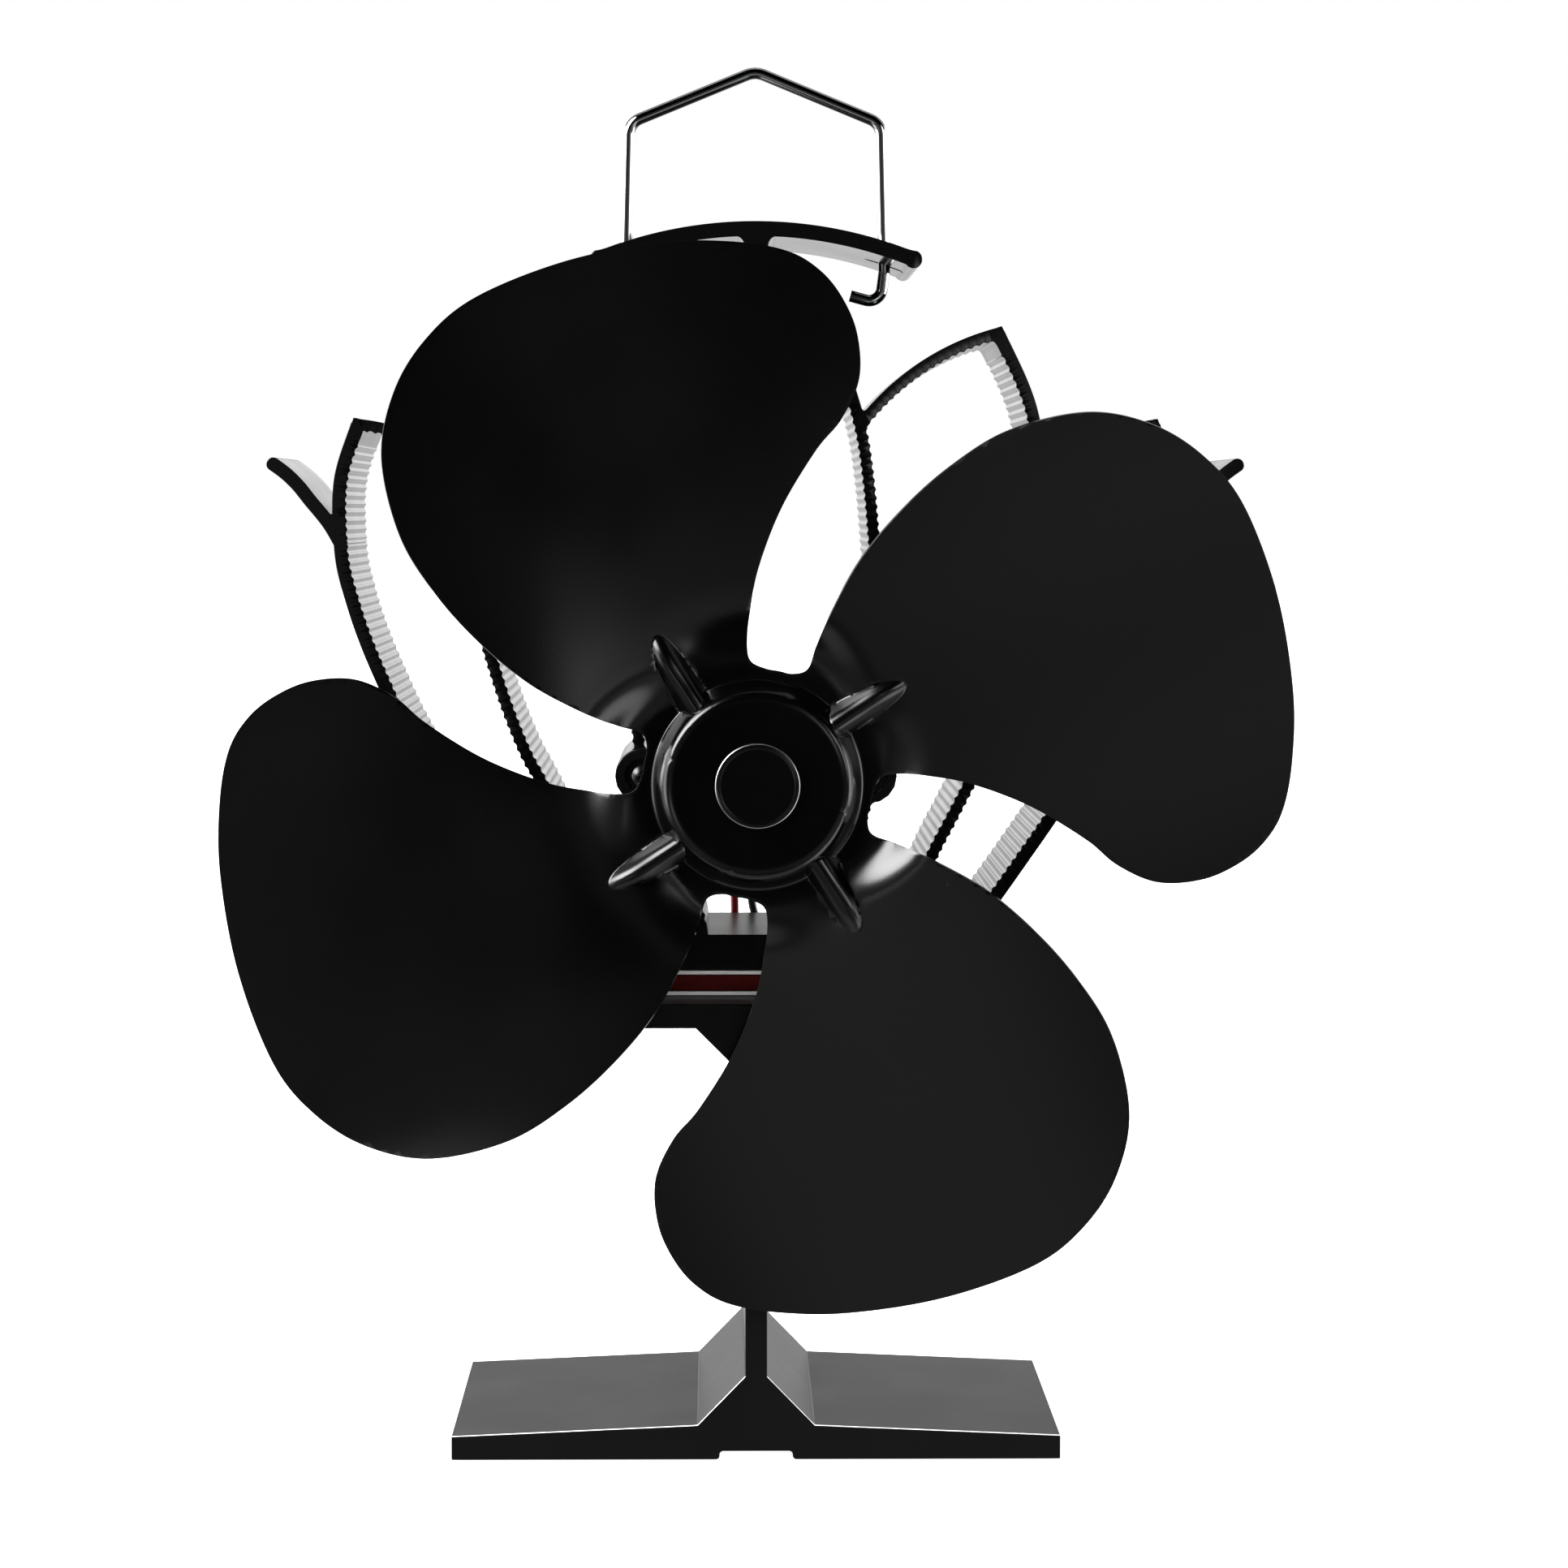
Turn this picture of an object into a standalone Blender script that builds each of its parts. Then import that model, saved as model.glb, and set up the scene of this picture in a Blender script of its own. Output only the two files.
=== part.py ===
"""Heat-powered stove fan: a black aluminium fan that stands on a wood stove and runs from its heat.

A thermoelectric module is clamped between a base and a finned heat sink. Its current drives a small motor,
which sits in the lens-shaped opening between the two inner fins and turns a four-blade pressed propeller.

Metres, +Z up. The floor is z = 0, the fan faces -Y and x = 0 is the middle. Each piece is placed from the
front face of the heat sink, where y = 0, and the frame that carries them all then puts the middle of the
whole depth at y = 0.
"""
import math

import bpy
import bmesh
from mathutils import Matrix, Vector
from mathutils.geometry import delaunay_2d_cdt

# Fits and clearances
SEAT_GAP = 0.0003
PASTE_GAP = 0.00015
PRESS_GAP = 0.00015
RUNNING_GAP = 0.00008
CUT_OVERRUN = 0.002
MERGE_DISTANCE = 0.00001

# Base, an aluminium extrusion: two feet, a thin stem and a platform
BASE_WIDTH = 0.1016
BASE_DEPTH = 0.063
FOOT_TIP_HEIGHT = 0.0040
FOOT_ROOT_HEIGHT = 0.0058
FOOT_ROOT_HALF = 0.0098
RAMP_RISE = 0.0082
STEM_THICKNESS = 0.0037
GROOVE_WIDTH = 0.0122
GROOVE_DEPTH = 0.0014
GROOVE_RADIUS = 0.0006
PLATFORM_TOP = 0.0764
PLATFORM_THICKNESS = 0.0041
PLATFORM_MARGIN = 0.011
GUSSET_SIZE = 0.0082

# Safety strip of two metals in the groove under the base
STRIP_LENGTH = 0.048
STRIP_SIDE_GAP = 0.0016
STRIP_THICKNESS = 0.0005
RIVET_RADIUS = 0.0014
RIVET_LENGTH = 0.0046
RIVET_END_MARGIN = 0.0045

# Thermoelectric module
MODULE_SIZE = 0.040
MODULE_PLATE = 0.0006
MODULE_CORE = 0.0026
SEAL_WIDTH = 0.0016

# Heat sink, an aluminium extrusion cut to the depth of the module
SINK_DEPTH = MODULE_SIZE
SINK_HEIGHT = 0.1253
SINK_WIDTH = 0.1634
BLOCK_MARGIN = 0.0140
BLOCK_HEIGHT = 0.006
BLOCK_RADIUS = 0.0012
HUB_RISE = 0.0268
INNER_FIN = 0.0021
MIDDLE_FIN = 0.0022
OUTER_FIN = 0.0024
PETAL_ARC = 0.0020
LEAF_FIN = 0.0023
STALK_THICKNESS = 0.0040
STALK_FILLET = 0.0016
ARCH_THICKNESS = 0.0025
ARCH_SPAN = 0.0524
ARCH_RADIUS = 0.0705
ARCH_BEAD_RADIUS = 0.0015
RIB_PITCH = 0.00145
RIB_HEIGHT = 0.00045
CURVE_STEP = 0.0036

# Fin centre lines. The first share is sideways, the second is the level: 0 is the top of the block,
# 1 the height of the motor, and 2 the middle of the arch's wall at its top.
INNER_FIN_SHARES = ((0.47, -0.10), (0.48, 0.03), (0.54, 0.21), (0.66, 0.38), (0.82, 0.55), (0.95, 0.76),
                    (1.00, 1.00), (1.06, 1.12), (1.075, 1.24), (1.06, 1.36), (1.03, 1.45), (0.99, 1.54),
                    (0.925, 1.63), (0.80, 1.72), (0.66, 1.785), (0.50, 1.845), (0.30, 1.895), (0.03, 1.935))
MIDDLE_FIN_SHARES = ((0.287, -0.10), (0.297, 0.02), (0.330, 0.27), (0.368, 0.53), (0.404, 0.74),
                     (0.446, 0.99), (0.472, 1.04), (0.504, 1.11), (0.534, 1.19), (0.565, 1.29),
                     (0.583, 1.39), (0.588, 1.48), (0.582, 1.57), (0.567, 1.655), (0.543, 1.72),
                     (0.495, 1.81))
OUTER_FIN_SHARES = ((0.410, -0.07), (0.447, 0.05), (0.493, 0.24), (0.546, 0.47), (0.607, 0.74),
                    (0.673, 1.015), (0.726, 1.10), (0.761, 1.168), (0.795, 1.24), (0.822, 1.31),
                    (0.845, 1.39), (0.851, 1.47), (0.8505, 1.52), (0.841, 1.57), (0.813, 1.642))
LEAF_SHARES = ((0.846, 1.42), (0.874, 1.463), (0.912, 1.505), (0.935, 1.531), (0.960, 1.553),
               (0.9855, 1.57))
INNER_ARC_LEVEL_SHARE = 1.64
OUTER_ARC_LEVEL_SHARE = 1.563
INNER_ARC_BOW_SHARE = 0.085
OUTER_ARC_BOW_SHARE = 0.07
ARC_RIB_START_SHARE = 0.1

# Motor, a round 24 mm direct-current motor with a 2 mm shaft
MOTOR_DIAMETER = 0.0244
MOTOR_LENGTH = 0.0308
MOTOR_PROTRUSION = 0.008
CAN_WALL = 0.0008
MOTOR_BOSS_RADIUS = 0.0033
MOTOR_BOSS_LENGTH = 0.0018
SHAFT_DIAMETER = 0.002
BEARING_RADIUS = 0.0027
BEARING_LENGTH = 0.0026
END_CAP_THICKNESS = 0.003
MAGNET_THICKNESS = 0.0017
MAGNET_LENGTH = 0.018
MAGNET_ARC_DEGREES = 118
AIR_GAP = 0.0005
CORE_LENGTH = 0.014
CORE_HUB_RADIUS = 0.0028
POLE_NECK = 0.0026
POLE_SHOE = 0.0013
COIL_LETTERS = "abc"
POLE_ARC_DEGREES = 100
WINDING_BULK = 0.0013
COMMUTATOR_RADIUS = 0.0024
COMMUTATOR_LENGTH = 0.0032
BRUSH_SIZE = 0.0018
BRUSH_REACH = 0.0040
TERMINAL_SPACING = 0.0136
TERMINAL_WIDTH = 0.0024
TERMINAL_THICKNESS = 0.0005
TERMINAL_LENGTH = 0.0045

# Motor bracket, a dished steel strap screwed to two bosses on the inner fins
STRAP_THICKNESS = 0.0015
STRAP_HEIGHT = 0.0200
STRAP_WALL_GAP = 0.0005
EAR_RADIUS = 0.0046
EAR_MARGIN = 0.0022
EAR_DIMPLE_RADIUS = 0.0030
EAR_DIMPLE_DEPTH = 0.0007
EAR_SCREW_RADIUS = 0.0012
EAR_SCREW_HEAD_RADIUS = 0.0019
EAR_SCREW_HEAD_HEIGHT = 0.0011
EAR_SCREW_LENGTH = 0.009
MOTOR_SCREW_SPACING = 0.016
MOTOR_SCREW_RADIUS = 0.0010
MOTOR_SCREW_HEAD_RADIUS = 0.0020
MOTOR_SCREW_HEAD_HEIGHT = 0.0012
MOTOR_SCREW_LENGTH = 0.003

# Every screw head: how wide its flat crown is, and how much of its height is domed
SCREW_CROWN_SHARE = 0.7
SCREW_DOME_SHARE = 0.67

# Clamp screws that pull the sink down on the module
CLAMP_OFFSET = 0.0055
CLAMP_SCREW_RADIUS = 0.0015
CLAMP_HEAD_RADIUS = 0.0027
CLAMP_HEAD_HEIGHT = 0.0022
CLAMP_THREAD_DEPTH = 0.0040
WASHER_RADIUS = 0.0034
WASHER_THICKNESS = 0.0006

# Propeller, pressed from one aluminium sheet, with a raised cap and four stiffening ribs
FAN_RADIUS = 0.0907
BLADE_COUNT = 4
SHEET_THICKNESS = 0.0010
CAP_RISE = 0.0040
CAP_TOP_RADIUS = 0.0142
CAP_FOOT_RADIUS = 0.0172
BEND_START_RADIUS = 0.0205
BEND_END_RADIUS = 0.0390
BLADE_AXIS_DEGREES = 22
BLADE_SLOPE_SHARE = 0.27
BLADE_REACH = 0.0110
BLADE_CAMBER = 0.0010
RIB_RISE = 0.0026
RIB_HALF_WIDTH = 0.0019
RIB_END_RADIUS = 0.0288
RIB_ROOT_DEGREES = 38.4
RIB_TIP_DEGREES = 34.6
BLADE_TO_BASE_GAP = 0.0018
BLADE_CELL = 0.0082
CELL_MARGIN_SHARE = 0.33
CAP_SEGMENTS = 24
CAP_WALL_RINGS = 3
RIB_ROWS = 6
RIB_LINE_SHARES = (-1, -0.5, 0, 0.5, 1)

# One blade's edge, anticlockwise seen from the front: share of the fan's radius, and degrees
BLADE_EDGE_SHARES = ((0.203, -18), (0.201, -11), (0.203, -4), (0.218, 3.0), (0.250, 4.2), (0.305, 2.7),
                     (0.386, -0.2), (0.496, -5.0), (0.606, -10.0), (0.672, -13.1), (0.750, -14.2),
                     (0.827, -12.6), (0.885, -10.0), (0.928, -7.0), (0.957, -3.2), (0.972, 2.5),
                     (0.983, 10), (0.993, 20), (1.000, 30), (0.985, 36.6), (0.948, 42.7), (0.882, 48.8),
                     (0.772, 54.9), (0.662, 59.1), (0.551, 62.7), (0.441, 65.8), (0.331, 67.2),
                     (0.272, 66.9), (0.226, 66.4))
EDGE_STEPS = 2

# Hub, turned from steel and swaged to the cap
HUB_RADIUS = 0.0050
HUB_FLANGE_RADIUS = 0.0069
HUB_FLANGE_THICKNESS = 0.0009
HUB_SHOULDER_RADIUS = 0.0076
HUB_SHOULDER_THICKNESS = 0.0016
HUB_TO_BRACKET_GAP = 0.0014
HUB_WEB = 0.0012
GRUB_RADIUS = 0.0013
GRUB_LENGTH = 0.0034
GRUB_INSET = 0.0030

# Carrying handle, bent from chromed wire
WIRE_DIAMETER = 0.002
HANDLE_HEIGHT = 0.0280
HANDLE_SHOULDER_DROP = 0.0088
HANDLE_SHOULDER_HALF = 0.0215
HANDLE_LEG_HALF = 0.0221
HOOK_DROP = 0.0055
HOOK_LENGTH = 0.0058
HOOK_TILT = 0.0014
SHOULDER_BEND = 0.0030
APEX_BEND = 0.0040
HOOK_BEND = 0.0022
BEND_STEPS = 4
SLOT_LENGTH = 0.0068
SLOT_SIDE_GAP = 0.0004

# Lead wires from the motor to the module. Each row of shares is one point of their route: how far out the
# red and the black one are (1 is the motor's tab), how far back (0 is the end of the tab, 1 the run behind
# the block) and how far down (0 is the tab, 1 the module's core).
LEAD_DIAMETER = 0.0014
LEAD_STAND_OFF = 0.0040
LEAD_STEP = 0.0034
LEAD_ROUTE_SHARES = ((1, 1, 0, 0), (1, 1, 0.17, 0), (0.90, 0.90, 0.42, 0.12), (0.60, 0.325, 0.92, 0.383),
                     (0.50, -0.05, 1, 0.686), (0.50, 0.28, 1, 0.897), (0.50, 0.50, 0.92, 0.98))

# Rounding of turned and drilled shapes
FINE_STEPS = 32
PLAIN_STEPS = 20
SMALL_STEPS = 10

# Worked out from the sizes above
BASE_FRONT = SINK_DEPTH / 2 - BASE_DEPTH / 2
MODULE_BOTTOM = PLATFORM_TOP + PASTE_GAP
CORE_BOTTOM = MODULE_BOTTOM + MODULE_PLATE + PASTE_GAP
CORE_TOP = CORE_BOTTOM + MODULE_CORE
MODULE_TOP = CORE_TOP + PASTE_GAP + MODULE_PLATE
SINK_BOTTOM = MODULE_TOP + PASTE_GAP
BLOCK_TOP = SINK_BOTTOM + BLOCK_HEIGHT
BLOCK_HALF = MODULE_SIZE / 2 + BLOCK_MARGIN
PLATFORM_HALF = MODULE_SIZE / 2 + PLATFORM_MARGIN
CLAMP_X = MODULE_SIZE / 2 + CLAMP_OFFSET
HUB_HEIGHT = BLOCK_TOP + HUB_RISE
ARCH_TOP = SINK_BOTTOM + SINK_HEIGHT
ARCH_MIDDLE = ARCH_TOP - ARCH_THICKNESS / 2
ARCH_CENTRE = ARCH_MIDDLE - ARCH_RADIUS
MOTOR_RADIUS = MOTOR_DIAMETER / 2
EAR_HALF = MOTOR_RADIUS + EAR_MARGIN + EAR_RADIUS
SHAFT_RADIUS = SHAFT_DIAMETER / 2
MOTOR_FRONT = -MOTOR_PROTRUSION
MOTOR_REAR = MOTOR_FRONT + MOTOR_LENGTH
STRAP_REAR = MOTOR_FRONT - SEAT_GAP
STRAP_FRONT = STRAP_REAR - STRAP_THICKNESS
WIRE_RADIUS = WIRE_DIAMETER / 2
LEAD_RADIUS = LEAD_DIAMETER / 2


def clear_scene():
    """Start from an empty scene."""
    for old in list(bpy.data.objects):
        bpy.data.objects.remove(old, do_unlink=True)


def make_collection(name):
    group = bpy.data.collections.new(name)
    bpy.context.scene.collection.children.link(group)
    return group


def make_material(name, colour, roughness, metallic):
    """A Principled material, for one named piece."""
    material = bpy.data.materials.new(name)
    material.use_nodes = True
    shader = material.node_tree.nodes["Principled BSDF"]
    shader.inputs["Base Color"].default_value = (*colour, 1)
    shader.inputs["Roughness"].default_value = roughness
    shader.inputs["Metallic"].default_value = metallic
    material.diffuse_color = (*colour, 1)
    return material


BLACK_PAINT = ((0.012, 0.012, 0.013), 0.38, 0.1)
CHROME = ((0.78, 0.79, 0.80), 0.08, 1.0)
BRIGHT_STEEL = ((0.56, 0.57, 0.58), 0.3, 1.0)
BLACK_STEEL = ((0.03, 0.03, 0.032), 0.35, 0.6)
BRASS = ((0.62, 0.45, 0.18), 0.3, 1.0)
BRONZE = ((0.42, 0.27, 0.14), 0.45, 1.0)
COPPER_WIRE = ((0.60, 0.25, 0.12), 0.35, 1.0)
CERAMIC = ((0.86, 0.86, 0.83), 0.5, 0.0)
RED_RUBBER = ((0.42, 0.02, 0.02), 0.45, 0.0)
TELLURIDE = ((0.30, 0.31, 0.33), 0.5, 0.6)
FERRITE = ((0.05, 0.05, 0.055), 0.7, 0.1)
LAMINATION = ((0.32, 0.33, 0.35), 0.4, 0.9)
WHITE_NYLON = ((0.82, 0.81, 0.76), 0.5, 0.0)
CARBON = ((0.06, 0.06, 0.06), 0.6, 0.2)
RED_SLEEVE = ((0.55, 0.02, 0.02), 0.4, 0.0)
BLACK_SLEEVE = ((0.015, 0.015, 0.016), 0.4, 0.0)


def add_object(name, mesh, finish, smooth_degrees=None):
    """Link a mesh as a named piece in the part's collection."""
    piece = bpy.data.objects.new(name, mesh)
    part.objects.link(piece)
    mesh.materials.append(make_material(name, *finish))
    if smooth_degrees is not None:
        mesh.shade_smooth()
        mesh.set_sharp_from_angle(angle=math.radians(smooth_degrees))
    return piece


def add_cutter(name, mesh):
    """Link a mesh as a hidden cutter."""
    cutter = bpy.data.objects.new(name, mesh)
    cutters.objects.link(cutter)
    cutter.hide_render = True
    cutter.display_type = "WIRE"
    return cutter


def cut(piece, cutter, operation="DIFFERENCE"):
    boolean = piece.modifiers.new(cutter.name, "BOOLEAN")
    boolean.operation = operation
    boolean.solver = "EXACT"
    boolean.object = cutter


def turned(name, profile, centre, finish, steps=PLAIN_STEPS):
    """Turn (radius, y) points about the line along Y through centre.

    The points run from front to rear along the outer side, and back along a bore if there is one.
    """
    mesh = bpy.data.meshes.new(name)
    points = [(radius, 0, -y) for radius, y in profile]
    edges = [(i, i + 1) for i in range(len(points) - 1)]
    if profile[0][0] > 0:
        edges.append((len(points) - 1, 0))
    mesh.from_pydata(points, edges, [])
    piece = add_object(name, mesh, finish)
    piece.location = centre
    piece.rotation_euler = (math.pi / 2, 0, 0)
    screw = piece.modifiers.new("turn", "SCREW")
    screw.axis = "Z"
    screw.angle = 2 * math.pi
    screw.steps = steps
    screw.render_steps = steps
    screw.use_merge_vertices = True
    screw.merge_threshold = MERGE_DISTANCE
    screw.use_smooth_shade = True
    return piece


def flat_mesh(name, outline):
    """One flat face in the local XY plane, facing +Z."""
    shape = bmesh.new()
    corners = [shape.verts.new((x, y, 0)) for x, y in outline]
    face = shape.faces.new(corners)
    face.normal_update()
    if face.normal.z < 0:
        face.normal_flip()
    mesh = bpy.data.meshes.new(name)
    shape.to_mesh(mesh)
    shape.free()
    return mesh


def thicken(piece, depth):
    """Give a flat piece its depth, along its normal."""
    solidify = piece.modifiers.new("depth", "SOLIDIFY")
    solidify.thickness = depth
    solidify.offset = 1
    return piece


def front_slab(name, outline, front, rear, finish):
    """An outline in X and Z, from its front to its rear along Y."""
    piece = thicken(add_object(name, flat_mesh(name, outline), finish), rear - front)
    piece.location = (0, rear, 0)
    piece.rotation_euler = (math.pi / 2, 0, 0)
    return piece


def upright_slab(name, outline, bottom, top, finish):
    """An outline in X and Y, from bottom to top along Z."""
    piece = thicken(add_object(name, flat_mesh(name, outline), finish), top - bottom)
    piece.location = (0, 0, bottom)
    return piece


def rectangle(left, right, low, high):
    return [(left, low), (right, low), (right, high), (left, high)]


def circle(centre_x, centre_y, radius, steps):
    turns = [2 * math.pi * i / steps for i in range(steps)]
    return [(centre_x + radius * math.cos(a), centre_y + radius * math.sin(a)) for a in turns]


def cylinder_mesh(name, radius, start, end, steps):
    """A capped cylinder between two points."""
    start, end = Vector(start), Vector(end)
    shape = bmesh.new()
    turn = (end - start).to_track_quat("Z", "Y").to_matrix().to_4x4()
    place = Matrix.Translation((start + end) / 2) @ turn
    bmesh.ops.create_cone(shape, cap_ends=True, segments=steps, radius1=radius, radius2=radius,
                          depth=(end - start).length, matrix=place)
    mesh = bpy.data.meshes.new(name)
    shape.to_mesh(mesh)
    shape.free()
    return mesh


def drill(piece, name, radius, start, end, steps=PLAIN_STEPS):
    """Cut a round hole from start to end."""
    cut(piece, add_cutter(name, cylinder_mesh(name, radius, start, end, steps)))


def box_mesh(name, low, high):
    shape = bmesh.new()
    low, high = Vector(low), Vector(high)
    size = high - low
    place = Matrix.Translation((low + high) / 2) @ Matrix.Diagonal((*size, 1))
    bmesh.ops.create_cube(shape, size=1, matrix=place)
    mesh = bpy.data.meshes.new(name)
    shape.to_mesh(mesh)
    shape.free()
    return mesh


def smooth_through(points, step):
    """Points about a step apart on a smooth curve through the given ones."""
    places = [Vector(point) for point in points]
    ahead = [places[0] * 2 - places[1]] + places + [places[-1] * 2 - places[-2]]
    result = [places[0]]
    for i in range(1, len(places)):
        before, start, end, after = ahead[i - 1:i + 3]
        count = max(1, round((end - start).length / step))
        for k in range(1, count + 1):
            t = k / count
            result.append(((start * 2) + (end - before) * t
                           + (before * 2 - start * 5 + end * 4 - after) * t ** 2
                           + (start * 3 - before - end * 3 + after) * t ** 3) / 2)
    return result


def even_path(points, step):
    """The same path with its points evenly spaced, and how far along each one is, from 0 to 1."""
    lengths = [0]
    for a, b in zip(points, points[1:]):
        lengths.append(lengths[-1] + (b - a).length)
    count = max(2, round(lengths[-1] / step))
    result = []
    reach = 0
    for i in range(count + 1):
        target = lengths[-1] * i / count
        while reach < len(points) - 2 and lengths[reach + 1] < target:
            reach += 1
        span = lengths[reach + 1] - lengths[reach]
        result.append(points[reach].lerp(points[reach + 1], min(1, (target - lengths[reach]) / span)))
    return result, [i / count for i in range(count + 1)]


def side_normals(path):
    """Unit vectors to the left of a flat path, at each of its points."""
    normals = []
    for i in range(len(path)):
        along = path[min(i + 1, len(path) - 1)] - path[max(i - 1, 0)]
        normals.append(Vector((-along.y, along.x)).normalized())
    return normals


def band(centre_line, thickness, left_ribs=(0, 0), right_ribs=(0, 0)):
    """The outline of a fin: its centre line with a wall, ribbed between two shares of its length."""
    path, shares = even_path(centre_line, RIB_PITCH / 2)
    normals = side_normals(path)
    plain_stride = max(1, round(CURVE_STEP / (RIB_PITCH / 2)))
    sides = []
    for sign, ribs in ((1, left_ribs), (-1, right_ribs)):
        edge = []
        for i, (place, normal, share) in enumerate(zip(path, normals, shares)):
            ribbed = ribs[0] < share < ribs[1]
            valley = RIB_HEIGHT * (i % 2) if ribbed else 0
            if ribbed or i % plain_stride == 0 or i == len(path) - 1:
                edge.append(place + normal * sign * (thickness / 2 - valley))
        sides.append(edge)
    return sides[0] + sides[1][::-1]


def corner_patch(tip, arriving, leaving, half):
    """The outer wedge where two fins of one petal meet in a point."""
    arriving, leaving = arriving.normalized(), leaving.normalized()
    outer_a = Vector((arriving.y, -arriving.x)) * half
    outer_b = Vector((leaving.y, -leaving.x)) * half
    mitre = (outer_a + outer_b).normalized()
    mitre = mitre * (half / mitre.dot(outer_a.normalized()))
    return [tip, tip + outer_a, tip + mitre, tip + outer_b]


def anticlockwise(outline):
    """The outline as vectors, in anticlockwise order."""
    points = [Vector((p[0], p[1])) for p in outline]
    area = sum(a.cross(b) for a, b in zip(points, points[1:] + points[:1]))
    return points if area > 0 else points[::-1]


def fill_loops(loops, inner_points=()):
    """Triangles between closed outlines, where an outline within another one is a hole."""
    points, faces = [], []
    for loop in loops:
        faces.append(list(range(len(points), len(points) + len(loop))))
        points.extend(anticlockwise(loop))
    points.extend(inner_points)
    flat, _, triangles, _, _, sources = delaunay_2d_cdt(points, [], faces, 1, MERGE_DISTANCE)
    return flat, [triangle for triangle, source in zip(triangles, sources) if len(source) % 2 == 1]


def united_loops(shapes):
    """The closed outlines of overlapping flat shapes, once they are joined."""
    points, faces = [], []
    for shape in shapes:
        faces.append(list(range(len(points), len(points) + len(shape))))
        points.extend(anticlockwise(shape))
    flat, _, triangles, _, _, sources = delaunay_2d_cdt(points, [], faces, 1, MERGE_DISTANCE)
    sides = set()
    for triangle, source in zip(triangles, sources):
        if source:
            sides.update(zip(triangle, triangle[1:] + triangle[:1]))
    following = {a: b for a, b in sides if (b, a) not in sides}
    loops = []
    while following:
        start, here = following.popitem()
        loop = [start]
        while here != start:
            loop.append(here)
            here = following.pop(here)
        loops.append([flat[i] for i in loop])
    return loops


def extrusion(name, shapes, front, rear, finish):
    """Outlines in X and Z, united and extruded along Y."""
    points, triangles = fill_loops(united_loops(shapes))
    mesh = bpy.data.meshes.new(name)
    mesh.from_pydata([(p.x, p.y, 0) for p in points], [], triangles)
    piece = thicken(add_object(name, mesh, finish), rear - front)
    piece.location = (0, rear, 0)
    piece.rotation_euler = (math.pi / 2, 0, 0)
    return piece


def rounded_outline(corners, radii, steps=BEND_STEPS):
    """A closed or open run of corners with each one rounded by its own radius."""
    result = []
    count = len(corners)
    for i in range(count):
        here = Vector(corners[i])
        to_last = Vector(corners[i - 1]) - here
        to_next = Vector(corners[(i + 1) % count]) - here
        half_angle = to_last.angle(to_next) / 2
        reach = min(radii[i] / math.tan(half_angle), to_last.length / 2, to_next.length / 2)
        if reach <= 0:
            result.append(here)
            continue
        radius = reach * math.tan(half_angle)
        middle = (to_last.normalized() + to_next.normalized()).normalized()
        centre = here + middle * (radius / math.sin(half_angle))
        first = here + to_last.normalized() * reach - centre
        last = here + to_next.normalized() * reach - centre
        for k in range(steps + 1):
            result.append(centre + first.slerp(last, k / steps) * radius)
    return result


def make_base():
    """Feet, ramps, stem, gussets and platform, with the groove for the safety strip."""
    stem = STEM_THICKNESS / 2
    gusset_half = stem + GUSSET_SIZE
    underside = PLATFORM_TOP - PLATFORM_THICKNESS
    groove = GROOVE_WIDTH / 2
    half = [(groove, GROOVE_DEPTH), (groove, 0), (BASE_WIDTH / 2, 0), (BASE_WIDTH / 2, FOOT_TIP_HEIGHT),
            (FOOT_ROOT_HALF, FOOT_ROOT_HEIGHT), (stem, FOOT_ROOT_HEIGHT + RAMP_RISE),
            (stem, underside - GUSSET_SIZE), (gusset_half, underside), (PLATFORM_HALF, underside),
            (PLATFORM_HALF, PLATFORM_TOP)]
    radii = [GROOVE_RADIUS, GROOVE_RADIUS] + [0] * (len(half) - 2)
    outline = half + [(-x, z) for x, z in reversed(half)]
    rounded = rounded_outline(outline, radii + radii[::-1])
    base = front_slab("base", rounded, BASE_FRONT, BASE_FRONT + BASE_DEPTH, BLACK_PAINT)
    for side, x in (("left", -CLAMP_X), ("right", CLAMP_X)):
        drill(base, "clamp_hole_" + side, CLAMP_SCREW_RADIUS + SEAT_GAP,
              (x, SINK_DEPTH / 2, underside - CUT_OVERRUN), (x, SINK_DEPTH / 2, PLATFORM_TOP + CUT_OVERRUN))
    y = rivet_y()
    drill(base, "rivet_hole", RIVET_RADIUS + SEAT_GAP,
          (0, y, -CUT_OVERRUN), (0, y, strip_top() + RIVET_LENGTH + SEAT_GAP), SMALL_STEPS)


def strip_top():
    return GROOVE_DEPTH - SEAT_GAP


def rivet_y():
    return SINK_DEPTH / 2 + STRIP_LENGTH / 2 - RIVET_END_MARGIN


def make_safety_strip():
    """The strip bends with heat and lifts the fan's front when the stove is too hot."""
    half = GROOVE_WIDTH / 2 - STRIP_SIDE_GAP
    middle = SINK_DEPTH / 2
    outline = rectangle(-half, half, middle - STRIP_LENGTH / 2, middle + STRIP_LENGTH / 2)
    strip = upright_slab("bimetal_strip", outline, strip_top() - STRIP_THICKNESS, strip_top(), BRIGHT_STEEL)
    y = rivet_y()
    low = strip_top() - STRIP_THICKNESS
    drill(strip, "strip_hole", RIVET_RADIUS + PASTE_GAP,
          (0, y, low - CUT_OVERRUN), (0, y, strip_top() + CUT_OVERRUN), SMALL_STEPS)
    mesh = cylinder_mesh("bimetal_rivet", RIVET_RADIUS, (0, y, low), (0, y, strip_top() + RIVET_LENGTH),
                         SMALL_STEPS)
    add_object("bimetal_rivet", mesh, BRIGHT_STEEL, 30)


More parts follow.
